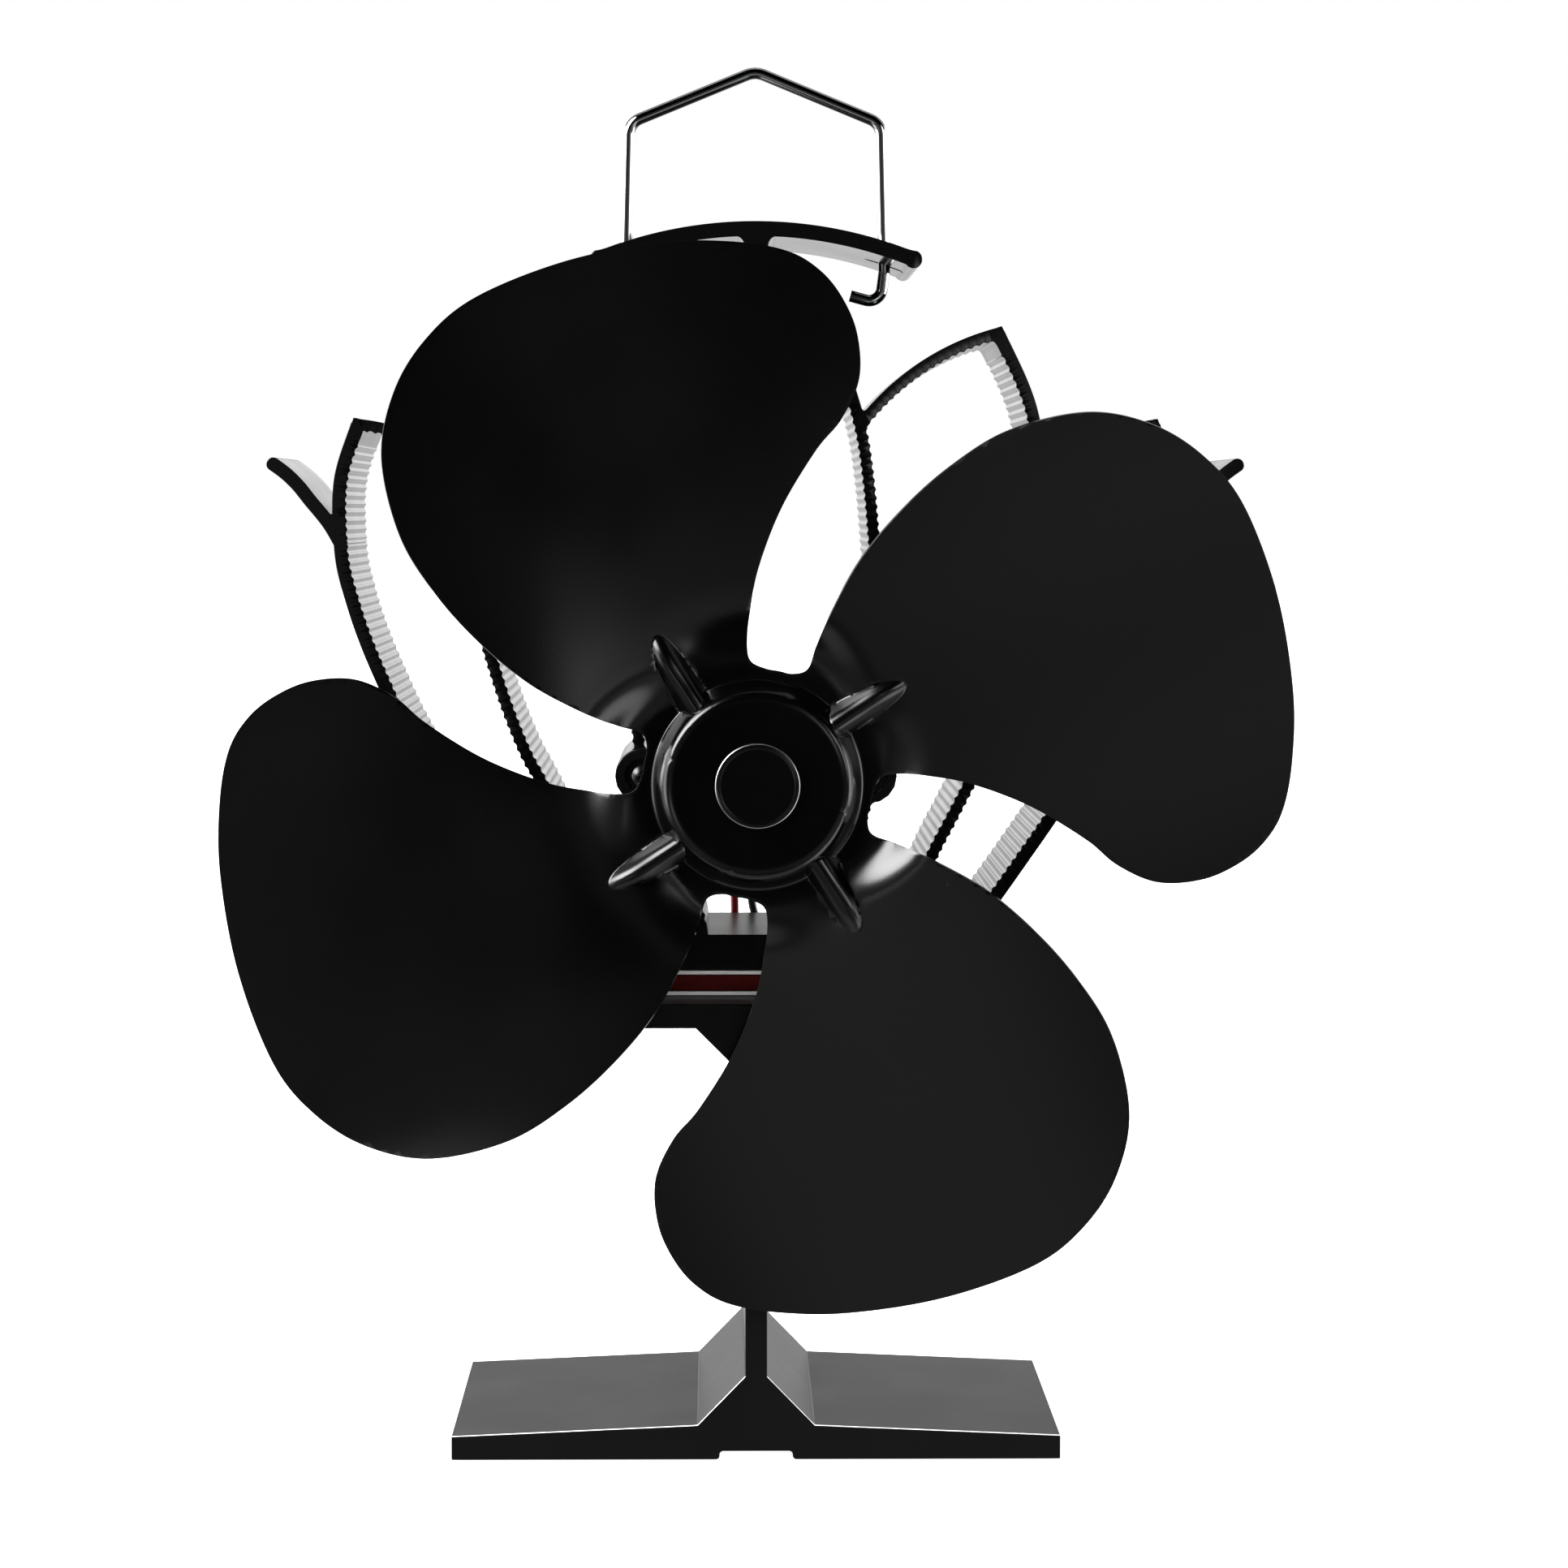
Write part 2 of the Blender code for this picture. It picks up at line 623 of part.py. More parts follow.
def make_module():
    """Two ceramic plates with a block of thermocouples between them and a sealing frame round it."""
    half = MODULE_SIZE / 2
    middle = SINK_DEPTH / 2
    plate = rectangle(-half, half, middle - half, middle + half)
    upright_slab("module_hot_plate", plate, MODULE_BOTTOM, MODULE_BOTTOM + MODULE_PLATE, CERAMIC)
    upright_slab("module_cold_plate", plate, CORE_TOP + PASTE_GAP, MODULE_TOP, CERAMIC)
    seal = upright_slab("module_seal", plate, CORE_BOTTOM, CORE_TOP, RED_RUBBER)
    inner = half - SEAL_WIDTH
    opening = box_mesh("seal_opening", (-inner, middle - inner, CORE_BOTTOM - CUT_OVERRUN),
                       (inner, middle + inner, CORE_TOP + CUT_OVERRUN))
    cut(seal, add_cutter("seal_opening", opening))
    core = inner - SEAT_GAP
    upright_slab("module_core", rectangle(-core, core, middle - core, middle + core), CORE_BOTTOM, CORE_TOP,
                 TELLURIDE)


def level_height(level):
    """Height of a level share: the block's top, the motor's axis, then the arch's middle."""
    if level <= 1:
        return BLOCK_TOP + (HUB_HEIGHT - BLOCK_TOP) * level
    return HUB_HEIGHT + (ARCH_MIDDLE - HUB_HEIGHT) * (level - 1)


def fin_line(shares, half_width):
    """A fin's smooth centre line from its table of shares."""
    knots = [(share * half_width, level_height(level)) for share, level in shares]
    return smooth_through(knots, CURVE_STEP / 2)


def point_at_height(line, height):
    return min(line, key=lambda place: abs(place.y - height))


def share_at_height(line, height):
    """How far along a line it passes a height, from 0 to 1."""
    lengths = [(b - a).length for a, b in zip(line, line[1:])]
    index = line.index(point_at_height(line, height))
    return sum(lengths[:index]) / sum(lengths)


def bowed_line(start, end, bow_share):
    """A round arc from start to end that bows to the left by a share of its chord."""
    chord = end - start
    rise = bow_share * chord.length
    radius = (chord.length ** 2 / 4 + rise ** 2) / (2 * rise)
    left = Vector((-chord.y, chord.x)).normalized()
    centre = (start + end) / 2 + left * (rise - radius)
    count = max(2, math.ceil(chord.length / (CURVE_STEP / 2)))
    first, last = start - centre, end - centre
    return [centre + first.slerp(last, i / count) * radius for i in range(count + 1)]


def fin_shapes():
    """The outlines of every fin of the right half."""
    sink_half = SINK_WIDTH / 2
    inner = fin_line(INNER_FIN_SHARES, EAR_HALF)
    middle = fin_line(MIDDLE_FIN_SHARES, sink_half)
    outer = fin_line(OUTER_FIN_SHARES, sink_half)
    leaf_tip_x = sink_half - LEAF_FIN / 2
    leaf = fin_line(LEAF_SHARES, sink_half)
    inner_height = level_height(INNER_ARC_LEVEL_SHARE)
    outer_height = level_height(OUTER_ARC_LEVEL_SHARE)
    inner_arc = bowed_line(point_at_height(inner, inner_height), middle[-1], INNER_ARC_BOW_SHARE)
    outer_arc = bowed_line(point_at_height(middle, outer_height), outer[-1], OUTER_ARC_BOW_SHARE)
    root_share = share_at_height(inner, BLOCK_TOP + INNER_FIN)
    ear_low = share_at_height(inner, HUB_HEIGHT - EAR_RADIUS)
    ear_high = share_at_height(inner, HUB_HEIGHT + EAR_RADIUS)
    inner_split = share_at_height(inner, inner_height)
    middle_split = share_at_height(middle, outer_height)
    middle_root = share_at_height(middle, BLOCK_TOP + MIDDLE_FIN)
    outer_root = share_at_height(outer, BLOCK_TOP + OUTER_FIN)
    near_end = 1 - MIDDLE_FIN / (middle[-1] - middle[0]).length
    shapes = [band(inner, INNER_FIN, (ear_high, 1), (ear_high, inner_split)),
              band(inner, INNER_FIN, (root_share, ear_low), (root_share, ear_low)),
              band(middle, MIDDLE_FIN, (middle_root, near_end), (middle_root, middle_split)),
              band(outer, OUTER_FIN, (outer_root, near_end)),
              band(inner_arc, PETAL_ARC, right_ribs=(ARC_RIB_START_SHARE, near_end)),
              band(outer_arc, PETAL_ARC, right_ribs=(ARC_RIB_START_SHARE, near_end)),
              band(leaf, LEAF_FIN),
              circle(leaf_tip_x, leaf[-1].y, LEAF_FIN / 2, SMALL_STEPS),
              circle(EAR_HALF, HUB_HEIGHT, EAR_RADIUS, PLAIN_STEPS)]
    for petal, arc, wall in ((middle, inner_arc, MIDDLE_FIN), (outer, outer_arc, OUTER_FIN)):
        shapes.append(corner_patch(petal[-1], petal[-1] - petal[-2], arc[-2] - arc[-1],
                                   (wall + PETAL_ARC) / 4))
    return shapes


def arch_line():
    """Centre line of the arched top, from left to right."""
    reach = math.asin(ARCH_SPAN / 2 / ARCH_RADIUS)
    count = math.ceil(ARCH_SPAN / CURVE_STEP)
    turns = [-reach + 2 * reach * i / count for i in range(count + 1)]
    return [Vector((ARCH_RADIUS * math.sin(a), ARCH_CENTRE + ARCH_RADIUS * math.cos(a))) for a in turns]


def stalk_shapes():
    """The stalk that carries the arch, with a fillet on both sides where it meets the arch."""
    half = STALK_THICKNESS / 2
    foot = level_height(INNER_FIN_SHARES[-1][1]) - INNER_FIN
    top = ARCH_MIDDLE
    under = ARCH_TOP - ARCH_THICKNESS
    shapes = [rectangle(-half, half, foot, top)]
    for sign in (-1, 1):
        curve = [(half + STALK_FILLET * (1 - math.cos(a)), under - STALK_FILLET * (1 - math.sin(a)))
                 for a in (math.pi / 2 * i / BEND_STEPS for i in range(BEND_STEPS + 1))]
        corner = [(0, under - STALK_FILLET), (0, ARCH_MIDDLE), (half + STALK_FILLET, ARCH_MIDDLE)]
        shapes.append([(sign * x, z) for x, z in curve + corner[::-1]])
    return shapes


def make_heat_sink():
    """Block, fins, petals, leaves, ear bosses and arch as one extrusion, then slotted and drilled."""
    right = fin_shapes()
    left = [[(-p[0], p[1]) for p in shape] for shape in right]
    block = rounded_outline(rectangle(-BLOCK_HALF, BLOCK_HALF, SINK_BOTTOM, BLOCK_TOP), [BLOCK_RADIUS] * 4)
    arch = arch_line()
    beads = [circle(end.x, end.y, ARCH_BEAD_RADIUS, SMALL_STEPS) for end in (arch[0], arch[-1])]
    shapes = right + left + [block, band(arch, ARCH_THICKNESS)] + beads + stalk_shapes()
    sink = extrusion("heat_sink", shapes, 0, SINK_DEPTH, BLACK_PAINT)
    middle = SINK_DEPTH / 2
    for side, sign in (("left", -1), ("right", 1)):
        drill(sink, "ear_hole_" + side, EAR_SCREW_RADIUS + SEAT_GAP,
              (sign * EAR_HALF, -CUT_OVERRUN, HUB_HEIGHT),
              (sign * EAR_HALF, EAR_SCREW_LENGTH, HUB_HEIGHT), SMALL_STEPS)
        drill(sink, "clamp_thread_" + side, CLAMP_SCREW_RADIUS + SEAT_GAP,
              (sign * CLAMP_X, middle, SINK_BOTTOM - CUT_OVERRUN),
              (sign * CLAMP_X, middle, SINK_BOTTOM + CLAMP_THREAD_DEPTH + SEAT_GAP), SMALL_STEPS)
        cut(sink, handle_slot("handle_slot_" + side, sign * HANDLE_LEG_HALF, middle))


def handle_slot(name, x, y):
    """A long slot with round ends, through the arch."""
    half_width = WIRE_RADIUS + SLOT_SIDE_GAP
    straight = SLOT_LENGTH / 2 - half_width
    ends = []
    for sign in (1, -1):
        turns = [math.pi * (i / BEND_STEPS - 0.5) for i in range(BEND_STEPS + 1)]
        ends += [(x + sign * (straight + half_width * math.cos(a)), y + sign * half_width * math.sin(a))
                 for a in turns]
    low = ARCH_CENTRE + math.sqrt(ARCH_RADIUS ** 2 - (ARCH_SPAN / 2) ** 2) - ARCH_THICKNESS
    mesh = flat_mesh(name, ends)
    slot = add_cutter(name, mesh)
    slot.location = (0, 0, low - CUT_OVERRUN)
    return thicken(slot, ARCH_TOP - low + 2 * CUT_OVERRUN)


def make_clamps():
    """A screw and a washer on each side of the module, from below."""
    middle = SINK_DEPTH / 2
    washer_top = PLATFORM_TOP - PLATFORM_THICKNESS - SEAT_GAP
    washer_low = washer_top - WASHER_THICKNESS
    head_top = washer_low - SEAT_GAP
    for side, x in (("left", -CLAMP_X), ("right", CLAMP_X)):
        name = "clamp_washer_" + side
        washer = add_object(name, cylinder_mesh(name, WASHER_RADIUS, (x, middle, washer_low),
                                                (x, middle, washer_top), PLAIN_STEPS), BRIGHT_STEEL, 30)
        drill(washer, "washer_bore_" + side, CLAMP_SCREW_RADIUS + SEAT_GAP,
              (x, middle, washer_low - CUT_OVERRUN), (x, middle, washer_top + CUT_OVERRUN), SMALL_STEPS)
        profile = screw_profile(CLAMP_HEAD_RADIUS, CLAMP_HEAD_HEIGHT, CLAMP_SCREW_RADIUS,
                                SINK_BOTTOM + CLAMP_THREAD_DEPTH - head_top)
        screw = turned("clamp_screw_" + side, profile, (x, middle, head_top), BRIGHT_STEEL, SMALL_STEPS)
        screw.rotation_euler = (math.pi, 0, 0)


def screw_profile(head_radius, head_height, shank_radius, shank_length):
    """A pan-head screw as (radius, distance): the head is before 0 and the shank after it."""
    crown = head_radius * SCREW_CROWN_SHARE
    rim = head_height * (1 - SCREW_DOME_SHARE)
    return [(0, -head_height), (crown, -head_height), (head_radius, -rim), (head_radius, 0),
            (shank_radius, 0), (shank_radius, shank_length), (0, shank_length)]


def make_bracket():
    """Strap with two round ears, dished forward over the front of the motor."""
    wall_x = MOTOR_RADIUS + STRAP_WALL_GAP
    ear_front = -SEAT_GAP - STRAP_THICKNESS
    ear_end = EAR_HALF + EAR_RADIUS
    outer_x = wall_x + STRAP_THICKNESS
    half = [(ear_end, ear_front), (ear_end, -SEAT_GAP), (wall_x, -SEAT_GAP), (wall_x, STRAP_REAR)]
    front_half = [(-outer_x, STRAP_FRONT), (-outer_x, ear_front)]
    outline = half + [(-x, y) for x, y in reversed(half)]
    outline += front_half[::-1] + [(-x, y) for x, y in front_half]
    low = HUB_HEIGHT - STRAP_HEIGHT / 2
    strap = upright_slab("motor_bracket", outline, low, low + STRAP_HEIGHT, BLACK_STEEL)
    ear_x = EAR_HALF
    shape = bracket_front(ear_x)
    blank = add_cutter("bracket_outline", flat_mesh("bracket_outline", shape))
    thicken(blank, -STRAP_FRONT + 2 * CUT_OVERRUN)
    blank.location = (0, CUT_OVERRUN, HUB_HEIGHT)
    blank.rotation_euler = (math.pi / 2, 0, 0)
    cut(strap, blank, "INTERSECT")
    drill(strap, "boss_hole", MOTOR_BOSS_RADIUS + SEAT_GAP,
          (0, STRAP_FRONT - CUT_OVERRUN, HUB_HEIGHT), (0, STRAP_REAR + CUT_OVERRUN, HUB_HEIGHT))
    for name, sign in (("upper", 1), ("lower", -1)):
        z = HUB_HEIGHT + sign * MOTOR_SCREW_SPACING / 2
        drill(strap, "motor_screw_hole_" + name, MOTOR_SCREW_RADIUS + SEAT_GAP,
              (0, STRAP_FRONT - CUT_OVERRUN, z), (0, STRAP_REAR + CUT_OVERRUN, z), SMALL_STEPS)
    for name, sign in (("left", -1), ("right", 1)):
        drill(strap, "ear_dimple_" + name, EAR_DIMPLE_RADIUS,
              (sign * ear_x, ear_front - CUT_OVERRUN, HUB_HEIGHT),
              (sign * ear_x, ear_front + EAR_DIMPLE_DEPTH, HUB_HEIGHT))
        drill(strap, "ear_bore_" + name, EAR_SCREW_RADIUS + SEAT_GAP,
              (sign * ear_x, ear_front - CUT_OVERRUN, HUB_HEIGHT),
              (sign * ear_x, CUT_OVERRUN, HUB_HEIGHT), SMALL_STEPS)


def bracket_front(ear_x):
    """Front view of the strap about its centre: a round middle that narrows to round ears."""
    tall = STRAP_HEIGHT / 2
    ear_turns = [math.pi / 2 * (1 - i / BEND_STEPS) for i in range(2 * BEND_STEPS + 1)]
    right_end = [(ear_x + EAR_RADIUS * math.cos(a), EAR_RADIUS * math.sin(a)) for a in ear_turns]
    shoulder = ear_x - EAR_RADIUS
    half = [(shoulder - tall + EAR_RADIUS, tall), (shoulder, EAR_RADIUS)]
    half += right_end
    half += [(shoulder, -EAR_RADIUS), (shoulder - tall + EAR_RADIUS, -tall)]
    return half + [(-x, z) for x, z in reversed(half)]


def make_bracket_screws():
    ear_seat = -SEAT_GAP - STRAP_THICKNESS + EAR_DIMPLE_DEPTH - SEAT_GAP
    reach = EAR_SCREW_LENGTH - SEAT_GAP - ear_seat
    profile = screw_profile(EAR_SCREW_HEAD_RADIUS, EAR_SCREW_HEAD_HEIGHT, EAR_SCREW_RADIUS, reach)
    for side, sign in (("left", -1), ("right", 1)):
        turned("bracket_screw_" + side, profile, (sign * EAR_HALF, ear_seat, HUB_HEIGHT), BLACK_STEEL,
               SMALL_STEPS)
    seat = STRAP_FRONT - SEAT_GAP
    profile = screw_profile(MOTOR_SCREW_HEAD_RADIUS, MOTOR_SCREW_HEAD_HEIGHT, MOTOR_SCREW_RADIUS,
                            MOTOR_SCREW_LENGTH)
    for name, sign in (("upper", 1), ("lower", -1)):
        turned("motor_screw_" + name, profile, (0, seat, HUB_HEIGHT + sign * MOTOR_SCREW_SPACING / 2),
               BRIGHT_STEEL, SMALL_STEPS)


def make_motor_shell():
    """Steel can with its front boss, the end cap, both bearings and the terminals."""
    axis = (0, 0, HUB_HEIGHT)
    bore = MOTOR_RADIUS - CAN_WALL
    seat = BEARING_RADIUS + PRESS_GAP
    boss_front = MOTOR_FRONT - MOTOR_BOSS_LENGTH
    can = turned("motor_can", [(seat, boss_front), (MOTOR_BOSS_RADIUS, boss_front),
                               (MOTOR_BOSS_RADIUS, MOTOR_FRONT), (MOTOR_RADIUS, MOTOR_FRONT),
                               (MOTOR_RADIUS, MOTOR_REAR), (bore, MOTOR_REAR),
                               (bore, MOTOR_FRONT + CAN_WALL), (seat, MOTOR_FRONT + CAN_WALL)],
                 axis, BRIGHT_STEEL, FINE_STEPS)
    for name, sign in (("upper", 1), ("lower", -1)):
        z = HUB_HEIGHT + sign * MOTOR_SCREW_SPACING / 2
        drill(can, "can_thread_" + name, MOTOR_SCREW_RADIUS + SEAT_GAP,
              (0, MOTOR_FRONT - CUT_OVERRUN, z), (0, MOTOR_FRONT + CUT_OVERRUN, z), SMALL_STEPS)
    shaft_bore = SHAFT_RADIUS + RUNNING_GAP
    front = boss_front
    turned("front_bearing", [(shaft_bore, front), (BEARING_RADIUS, front),
                             (BEARING_RADIUS, front + BEARING_LENGTH), (shaft_bore, front + BEARING_LENGTH)],
           axis, BRONZE)
    rear = MOTOR_REAR - END_CAP_THICKNESS
    turned("rear_bearing", [(shaft_bore, rear), (BEARING_RADIUS, rear),
                            (BEARING_RADIUS, rear + BEARING_LENGTH), (shaft_bore, rear + BEARING_LENGTH)],
           axis, BRONZE)
    disc = bore - PRESS_GAP
    cap = turned("motor_end_cap", [(seat, rear), (disc, rear), (disc, MOTOR_REAR), (seat, MOTOR_REAR)],
                 axis, WHITE_NYLON, FINE_STEPS)
    for name, sign in (("positive", -1), ("negative", 1)):
        make_terminal(cap, name, sign * TERMINAL_SPACING / 2, rear)
        make_brush(name, sign)


def make_terminal(cap, name, x, cap_front):
    """A flat tab through a slot in the end cap."""
    half = TERMINAL_WIDTH / 2
    low = HUB_HEIGHT - TERMINAL_THICKNESS / 2
    high = HUB_HEIGHT + TERMINAL_THICKNESS / 2
    slot = box_mesh("tab_slot_" + name,
                    (x - half - PASTE_GAP, cap_front - CUT_OVERRUN, low - PASTE_GAP),
                    (x + half + PASTE_GAP, MOTOR_REAR + CUT_OVERRUN, high + PASTE_GAP))
    cut(cap, add_cutter("tab_slot_" + name, slot))
    tab = box_mesh("motor_terminal_" + name, (x - half, cap_front, low),
                   (x + half, MOTOR_REAR + TERMINAL_LENGTH, high))
    add_object("motor_terminal_" + name, tab, BRASS)


def make_brush(name, sign):
    """A carbon brush that bears on the commutator, held at the end cap's inner face."""
    inner = COMMUTATOR_RADIUS + PASTE_GAP
    rear = MOTOR_REAR - END_CAP_THICKNESS - SEAT_GAP
    half = BRUSH_SIZE / 2
    ends = sorted((sign * inner, sign * (inner + BRUSH_REACH)))
    brush = box_mesh("brush_" + name, (ends[0], rear - BRUSH_SIZE, HUB_HEIGHT - half),
                     (ends[1], rear, HUB_HEIGHT + half))
    add_object("brush_" + name, brush, CARBON)


def ring_sector(inner, outer, middle_degrees, span_degrees, steps):
    """A piece of a ring, about the origin."""
    start = math.radians(middle_degrees - span_degrees / 2)
    turns = [start + math.radians(span_degrees) * i / steps for i in range(steps + 1)]
    rim = [(outer * math.cos(a), outer * math.sin(a)) for a in turns]
    return rim + [(inner * math.cos(a), inner * math.sin(a)) for a in reversed(turns)]


def raised(outline):
    """The same outline about the motor's axis."""
    return [(x, z + HUB_HEIGHT) for x, z in outline]


def make_magnets():
    outer = MOTOR_RADIUS - CAN_WALL - PASTE_GAP
    middle = (MOTOR_FRONT + MOTOR_REAR) / 2
    for side, degrees in (("left", 180), ("right", 0)):
        shape = ring_sector(outer - MAGNET_THICKNESS, outer, degrees, MAGNET_ARC_DEGREES, SMALL_STEPS)
        front_slab("magnet_" + side, raised(shape), middle - MAGNET_LENGTH / 2, middle + MAGNET_LENGTH / 2,
                   FERRITE)


def make_armature():
    """Three-pole core with a coil on each neck, the commutator and the shaft."""
    outer = MOTOR_RADIUS - CAN_WALL - PASTE_GAP - MAGNET_THICKNESS - AIR_GAP
    shoe = outer - POLE_SHOE
    middle = (MOTOR_FRONT + MOTOR_REAR) / 2
    front, rear = middle - CORE_LENGTH / 2, middle + CORE_LENGTH / 2
    shapes = [circle(0, 0, CORE_HUB_RADIUS, PLAIN_STEPS)]
    for i, letter in enumerate(COIL_LETTERS):
        degrees = 90 + 360 / len(COIL_LETTERS) * i
        turn = Matrix.Rotation(math.radians(degrees), 2)
        neck = rectangle(0, shoe + POLE_SHOE / 2, -POLE_NECK / 2, POLE_NECK / 2)
        shapes.append([turn @ Vector(corner) for corner in neck])
        shapes.append(ring_sector(shoe, outer, degrees, POLE_ARC_DEGREES, SMALL_STEPS))
        make_winding(letter, degrees, shoe, front, rear)
    core = extrusion("armature_core", [raised(shape) for shape in shapes], front, rear, LAMINATION)
    drill(core, "core_bore", SHAFT_RADIUS + PRESS_GAP, (0, front - CUT_OVERRUN, HUB_HEIGHT),
          (0, rear + CUT_OVERRUN, HUB_HEIGHT), SMALL_STEPS)
    axis = (0, 0, HUB_HEIGHT)
    shaft_bore = SHAFT_RADIUS + PRESS_GAP
    copper_rear = MOTOR_REAR - END_CAP_THICKNESS - SEAT_GAP
    copper_front = copper_rear - COMMUTATOR_LENGTH
    turned("commutator", [(shaft_bore, copper_front), (COMMUTATOR_RADIUS, copper_front),
                          (COMMUTATOR_RADIUS, copper_rear), (shaft_bore, copper_rear)], axis, COPPER_WIRE)
    shaft_rear = MOTOR_REAR - END_CAP_THICKNESS + BEARING_LENGTH
    turned("motor_shaft", [(0, shaft_front()), (SHAFT_RADIUS, shaft_front()), (SHAFT_RADIUS, shaft_rear),
                           (0, shaft_rear)], axis, BRIGHT_STEEL, SMALL_STEPS)


def make_winding(letter, degrees, shoe, front, rear):
    """One coil, wound round the neck of a pole."""
    name = "winding_" + letter
    foot = CORE_HUB_RADIUS + SEAT_GAP
    top = shoe * math.cos(math.radians(POLE_ARC_DEGREES / 4)) - SEAT_GAP
    neck = POLE_NECK / 2 + PASTE_GAP
    bulk = neck + WINDING_BULK
    coil = box_mesh(name, (foot, front - WINDING_BULK - PASTE_GAP, -bulk),
                    (top, rear + WINDING_BULK + PASTE_GAP, bulk))
    window = box_mesh(name + "_window", (foot - CUT_OVERRUN, front - PASTE_GAP, -neck),
                      (top + CUT_OVERRUN, rear + PASTE_GAP, neck))
    turn = Matrix.Translation((0, 0, HUB_HEIGHT)) @ Matrix.Rotation(-math.radians(degrees), 4, "Y")
    coil.transform(turn)
    window.transform(turn)
    cut(add_object(name, coil, COPPER_WIRE), add_cutter(name + "_window", window))


def blend(start, end, value):
    """0 before start, 1 after end, and smooth between them."""
    t = min(1, max(0, (value - start) / (end - start)))
    return t * t * (3 - 2 * t)


def sheet_forward(x, z):
    """How far the pressed sheet stands in front of its flat ring, at x and z from the hub's axis."""
    radius = math.hypot(x, z)
    turn = math.degrees(math.atan2(z, x))
    pitch = 360 / BLADE_COUNT
    local = (turn - BLADE_AXIS_DEGREES + pitch / 2) % pitch - pitch / 2
    across = radius * math.sin(math.radians(local))
    twist = blend(BEND_START_RADIUS, BEND_END_RADIUS, radius)
    lift = BLADE_REACH * math.tanh(BLADE_SLOPE_SHARE * across / BLADE_REACH)
    hollow = BLADE_CAMBER * (1 - (across / (FAN_RADIUS / 2)) ** 2)
    cap = CAP_RISE * (1 - blend(CAP_TOP_RADIUS, CAP_FOOT_RADIUS, radius))
    return twist * (lift - hollow) + max(cap, rib_forward(radius, turn))


def rib_forward(radius, turn):
    """Height of the stiffening rib nearest to this point."""
    along = min(1, max(0, (radius - CAP_TOP_RADIUS) / (RIB_END_RADIUS - CAP_TOP_RADIUS)))
    if along in (0, 1):
        return 0
    pitch = 360 / BLADE_COUNT
    line = RIB_ROOT_DEGREES + (RIB_TIP_DEGREES - RIB_ROOT_DEGREES) * along
    off = (turn - line + pitch / 2) % pitch - pitch / 2
    across = abs(radius * math.sin(math.radians(off)))
    taper = 1 - along ** 3
    width = RIB_HALF_WIDTH * math.sqrt(taper)
    if across >= width:
        return 0
    return RIB_RISE * taper * (1 - (across / width) ** 2) ** 2


def blade_outline():
    """The whole propeller's edge, anticlockwise about the hub's axis."""
    knots = []
    for i in range(BLADE_COUNT):
        for share, degrees in BLADE_EDGE_SHARES:
            a = math.radians(degrees + 360 / BLADE_COUNT * i)
            knots.append(Vector((share * FAN_RADIUS * math.cos(a), share * FAN_RADIUS * math.sin(a))))
    count = len(knots)
    edge = []
    for i in range(count):
        before, start, end, after = (knots[(i + k) % count] for k in (-1, 0, 1, 2))
        for step in range(EDGE_STEPS):
            t = step / EDGE_STEPS
            edge.append((start * 2 + (end - before) * t + (before * 2 - start * 5 + end * 4 - after) * t ** 2
                         + (start * 3 - before - end * 3 + after) * t ** 3) / 2)
    return edge


def inside(point, outline):
    """Whether a point lies inside a closed outline."""
    odd = False
    last = outline[-1]
    for here in outline:
        if (here.y > point.y) != (last.y > point.y):
            crossing = last.x + (point.y - last.y) * (here.x - last.x) / (here.y - last.y)
            odd ^= point.x < crossing
        last = here
    return odd


def blade_inner_points(edge):
    """Points inside the propeller: rings on the cap, rows on the ribs and even rings on the blades."""
    points = []
    hole = HUB_RADIUS + SEAT_GAP
    cap_rings = [(hole + CAP_TOP_RADIUS) / 2, CAP_TOP_RADIUS]
    cap_rings += [CAP_TOP_RADIUS + (CAP_FOOT_RADIUS - CAP_TOP_RADIUS) * k / CAP_WALL_RINGS
                  for k in range(1, CAP_WALL_RINGS + 1)]
    for radius in cap_rings:
        points += [Vector(p) for p in circle(0, 0, radius, CAP_SEGMENTS)]
    for i in range(BLADE_COUNT):
        for k in range(1, RIB_ROWS + 1):
            radius = CAP_FOOT_RADIUS + (RIB_END_RADIUS - CAP_FOOT_RADIUS) * k / RIB_ROWS
            share = (radius - CAP_TOP_RADIUS) / (RIB_END_RADIUS - CAP_TOP_RADIUS)
            line = RIB_ROOT_DEGREES + (RIB_TIP_DEGREES - RIB_ROOT_DEGREES) * share + 360 / BLADE_COUNT * i
            for side in RIB_LINE_SHARES:
                a = math.radians(line) + side * RIB_HALF_WIDTH / radius
                points.append(Vector((radius * math.cos(a), radius * math.sin(a))))
    radius = RIB_END_RADIUS + BLADE_CELL / 2
    while radius < FAN_RADIUS:
        for p in circle(0, 0, radius, round(2 * math.pi * radius / BLADE_CELL)):
            points.append(Vector(p))
        radius += BLADE_CELL
    margin = BLADE_CELL * CELL_MARGIN_SHARE
    return [p for p in points
            if p.length < CAP_FOOT_RADIUS + MERGE_DISTANCE
            or (inside(p, edge) and min((p - q).length for q in edge) > margin)]


def rear_reach():
    """How far the blades' edges reach behind the flat ring, with half the sheet."""
    return SHEET_THICKNESS / 2 - min(sheet_forward(p.x, p.y) for p in blade_outline())


def plate_y():
    """Middle of the flat ring's sheet, set by the blades' clearance in front of the base."""
    return BASE_FRONT - BLADE_TO_BASE_GAP - rear_reach()


def shaft_front():
    return plate_y() - CAP_RISE + SHEET_THICKNESS / 2 + HUB_WEB


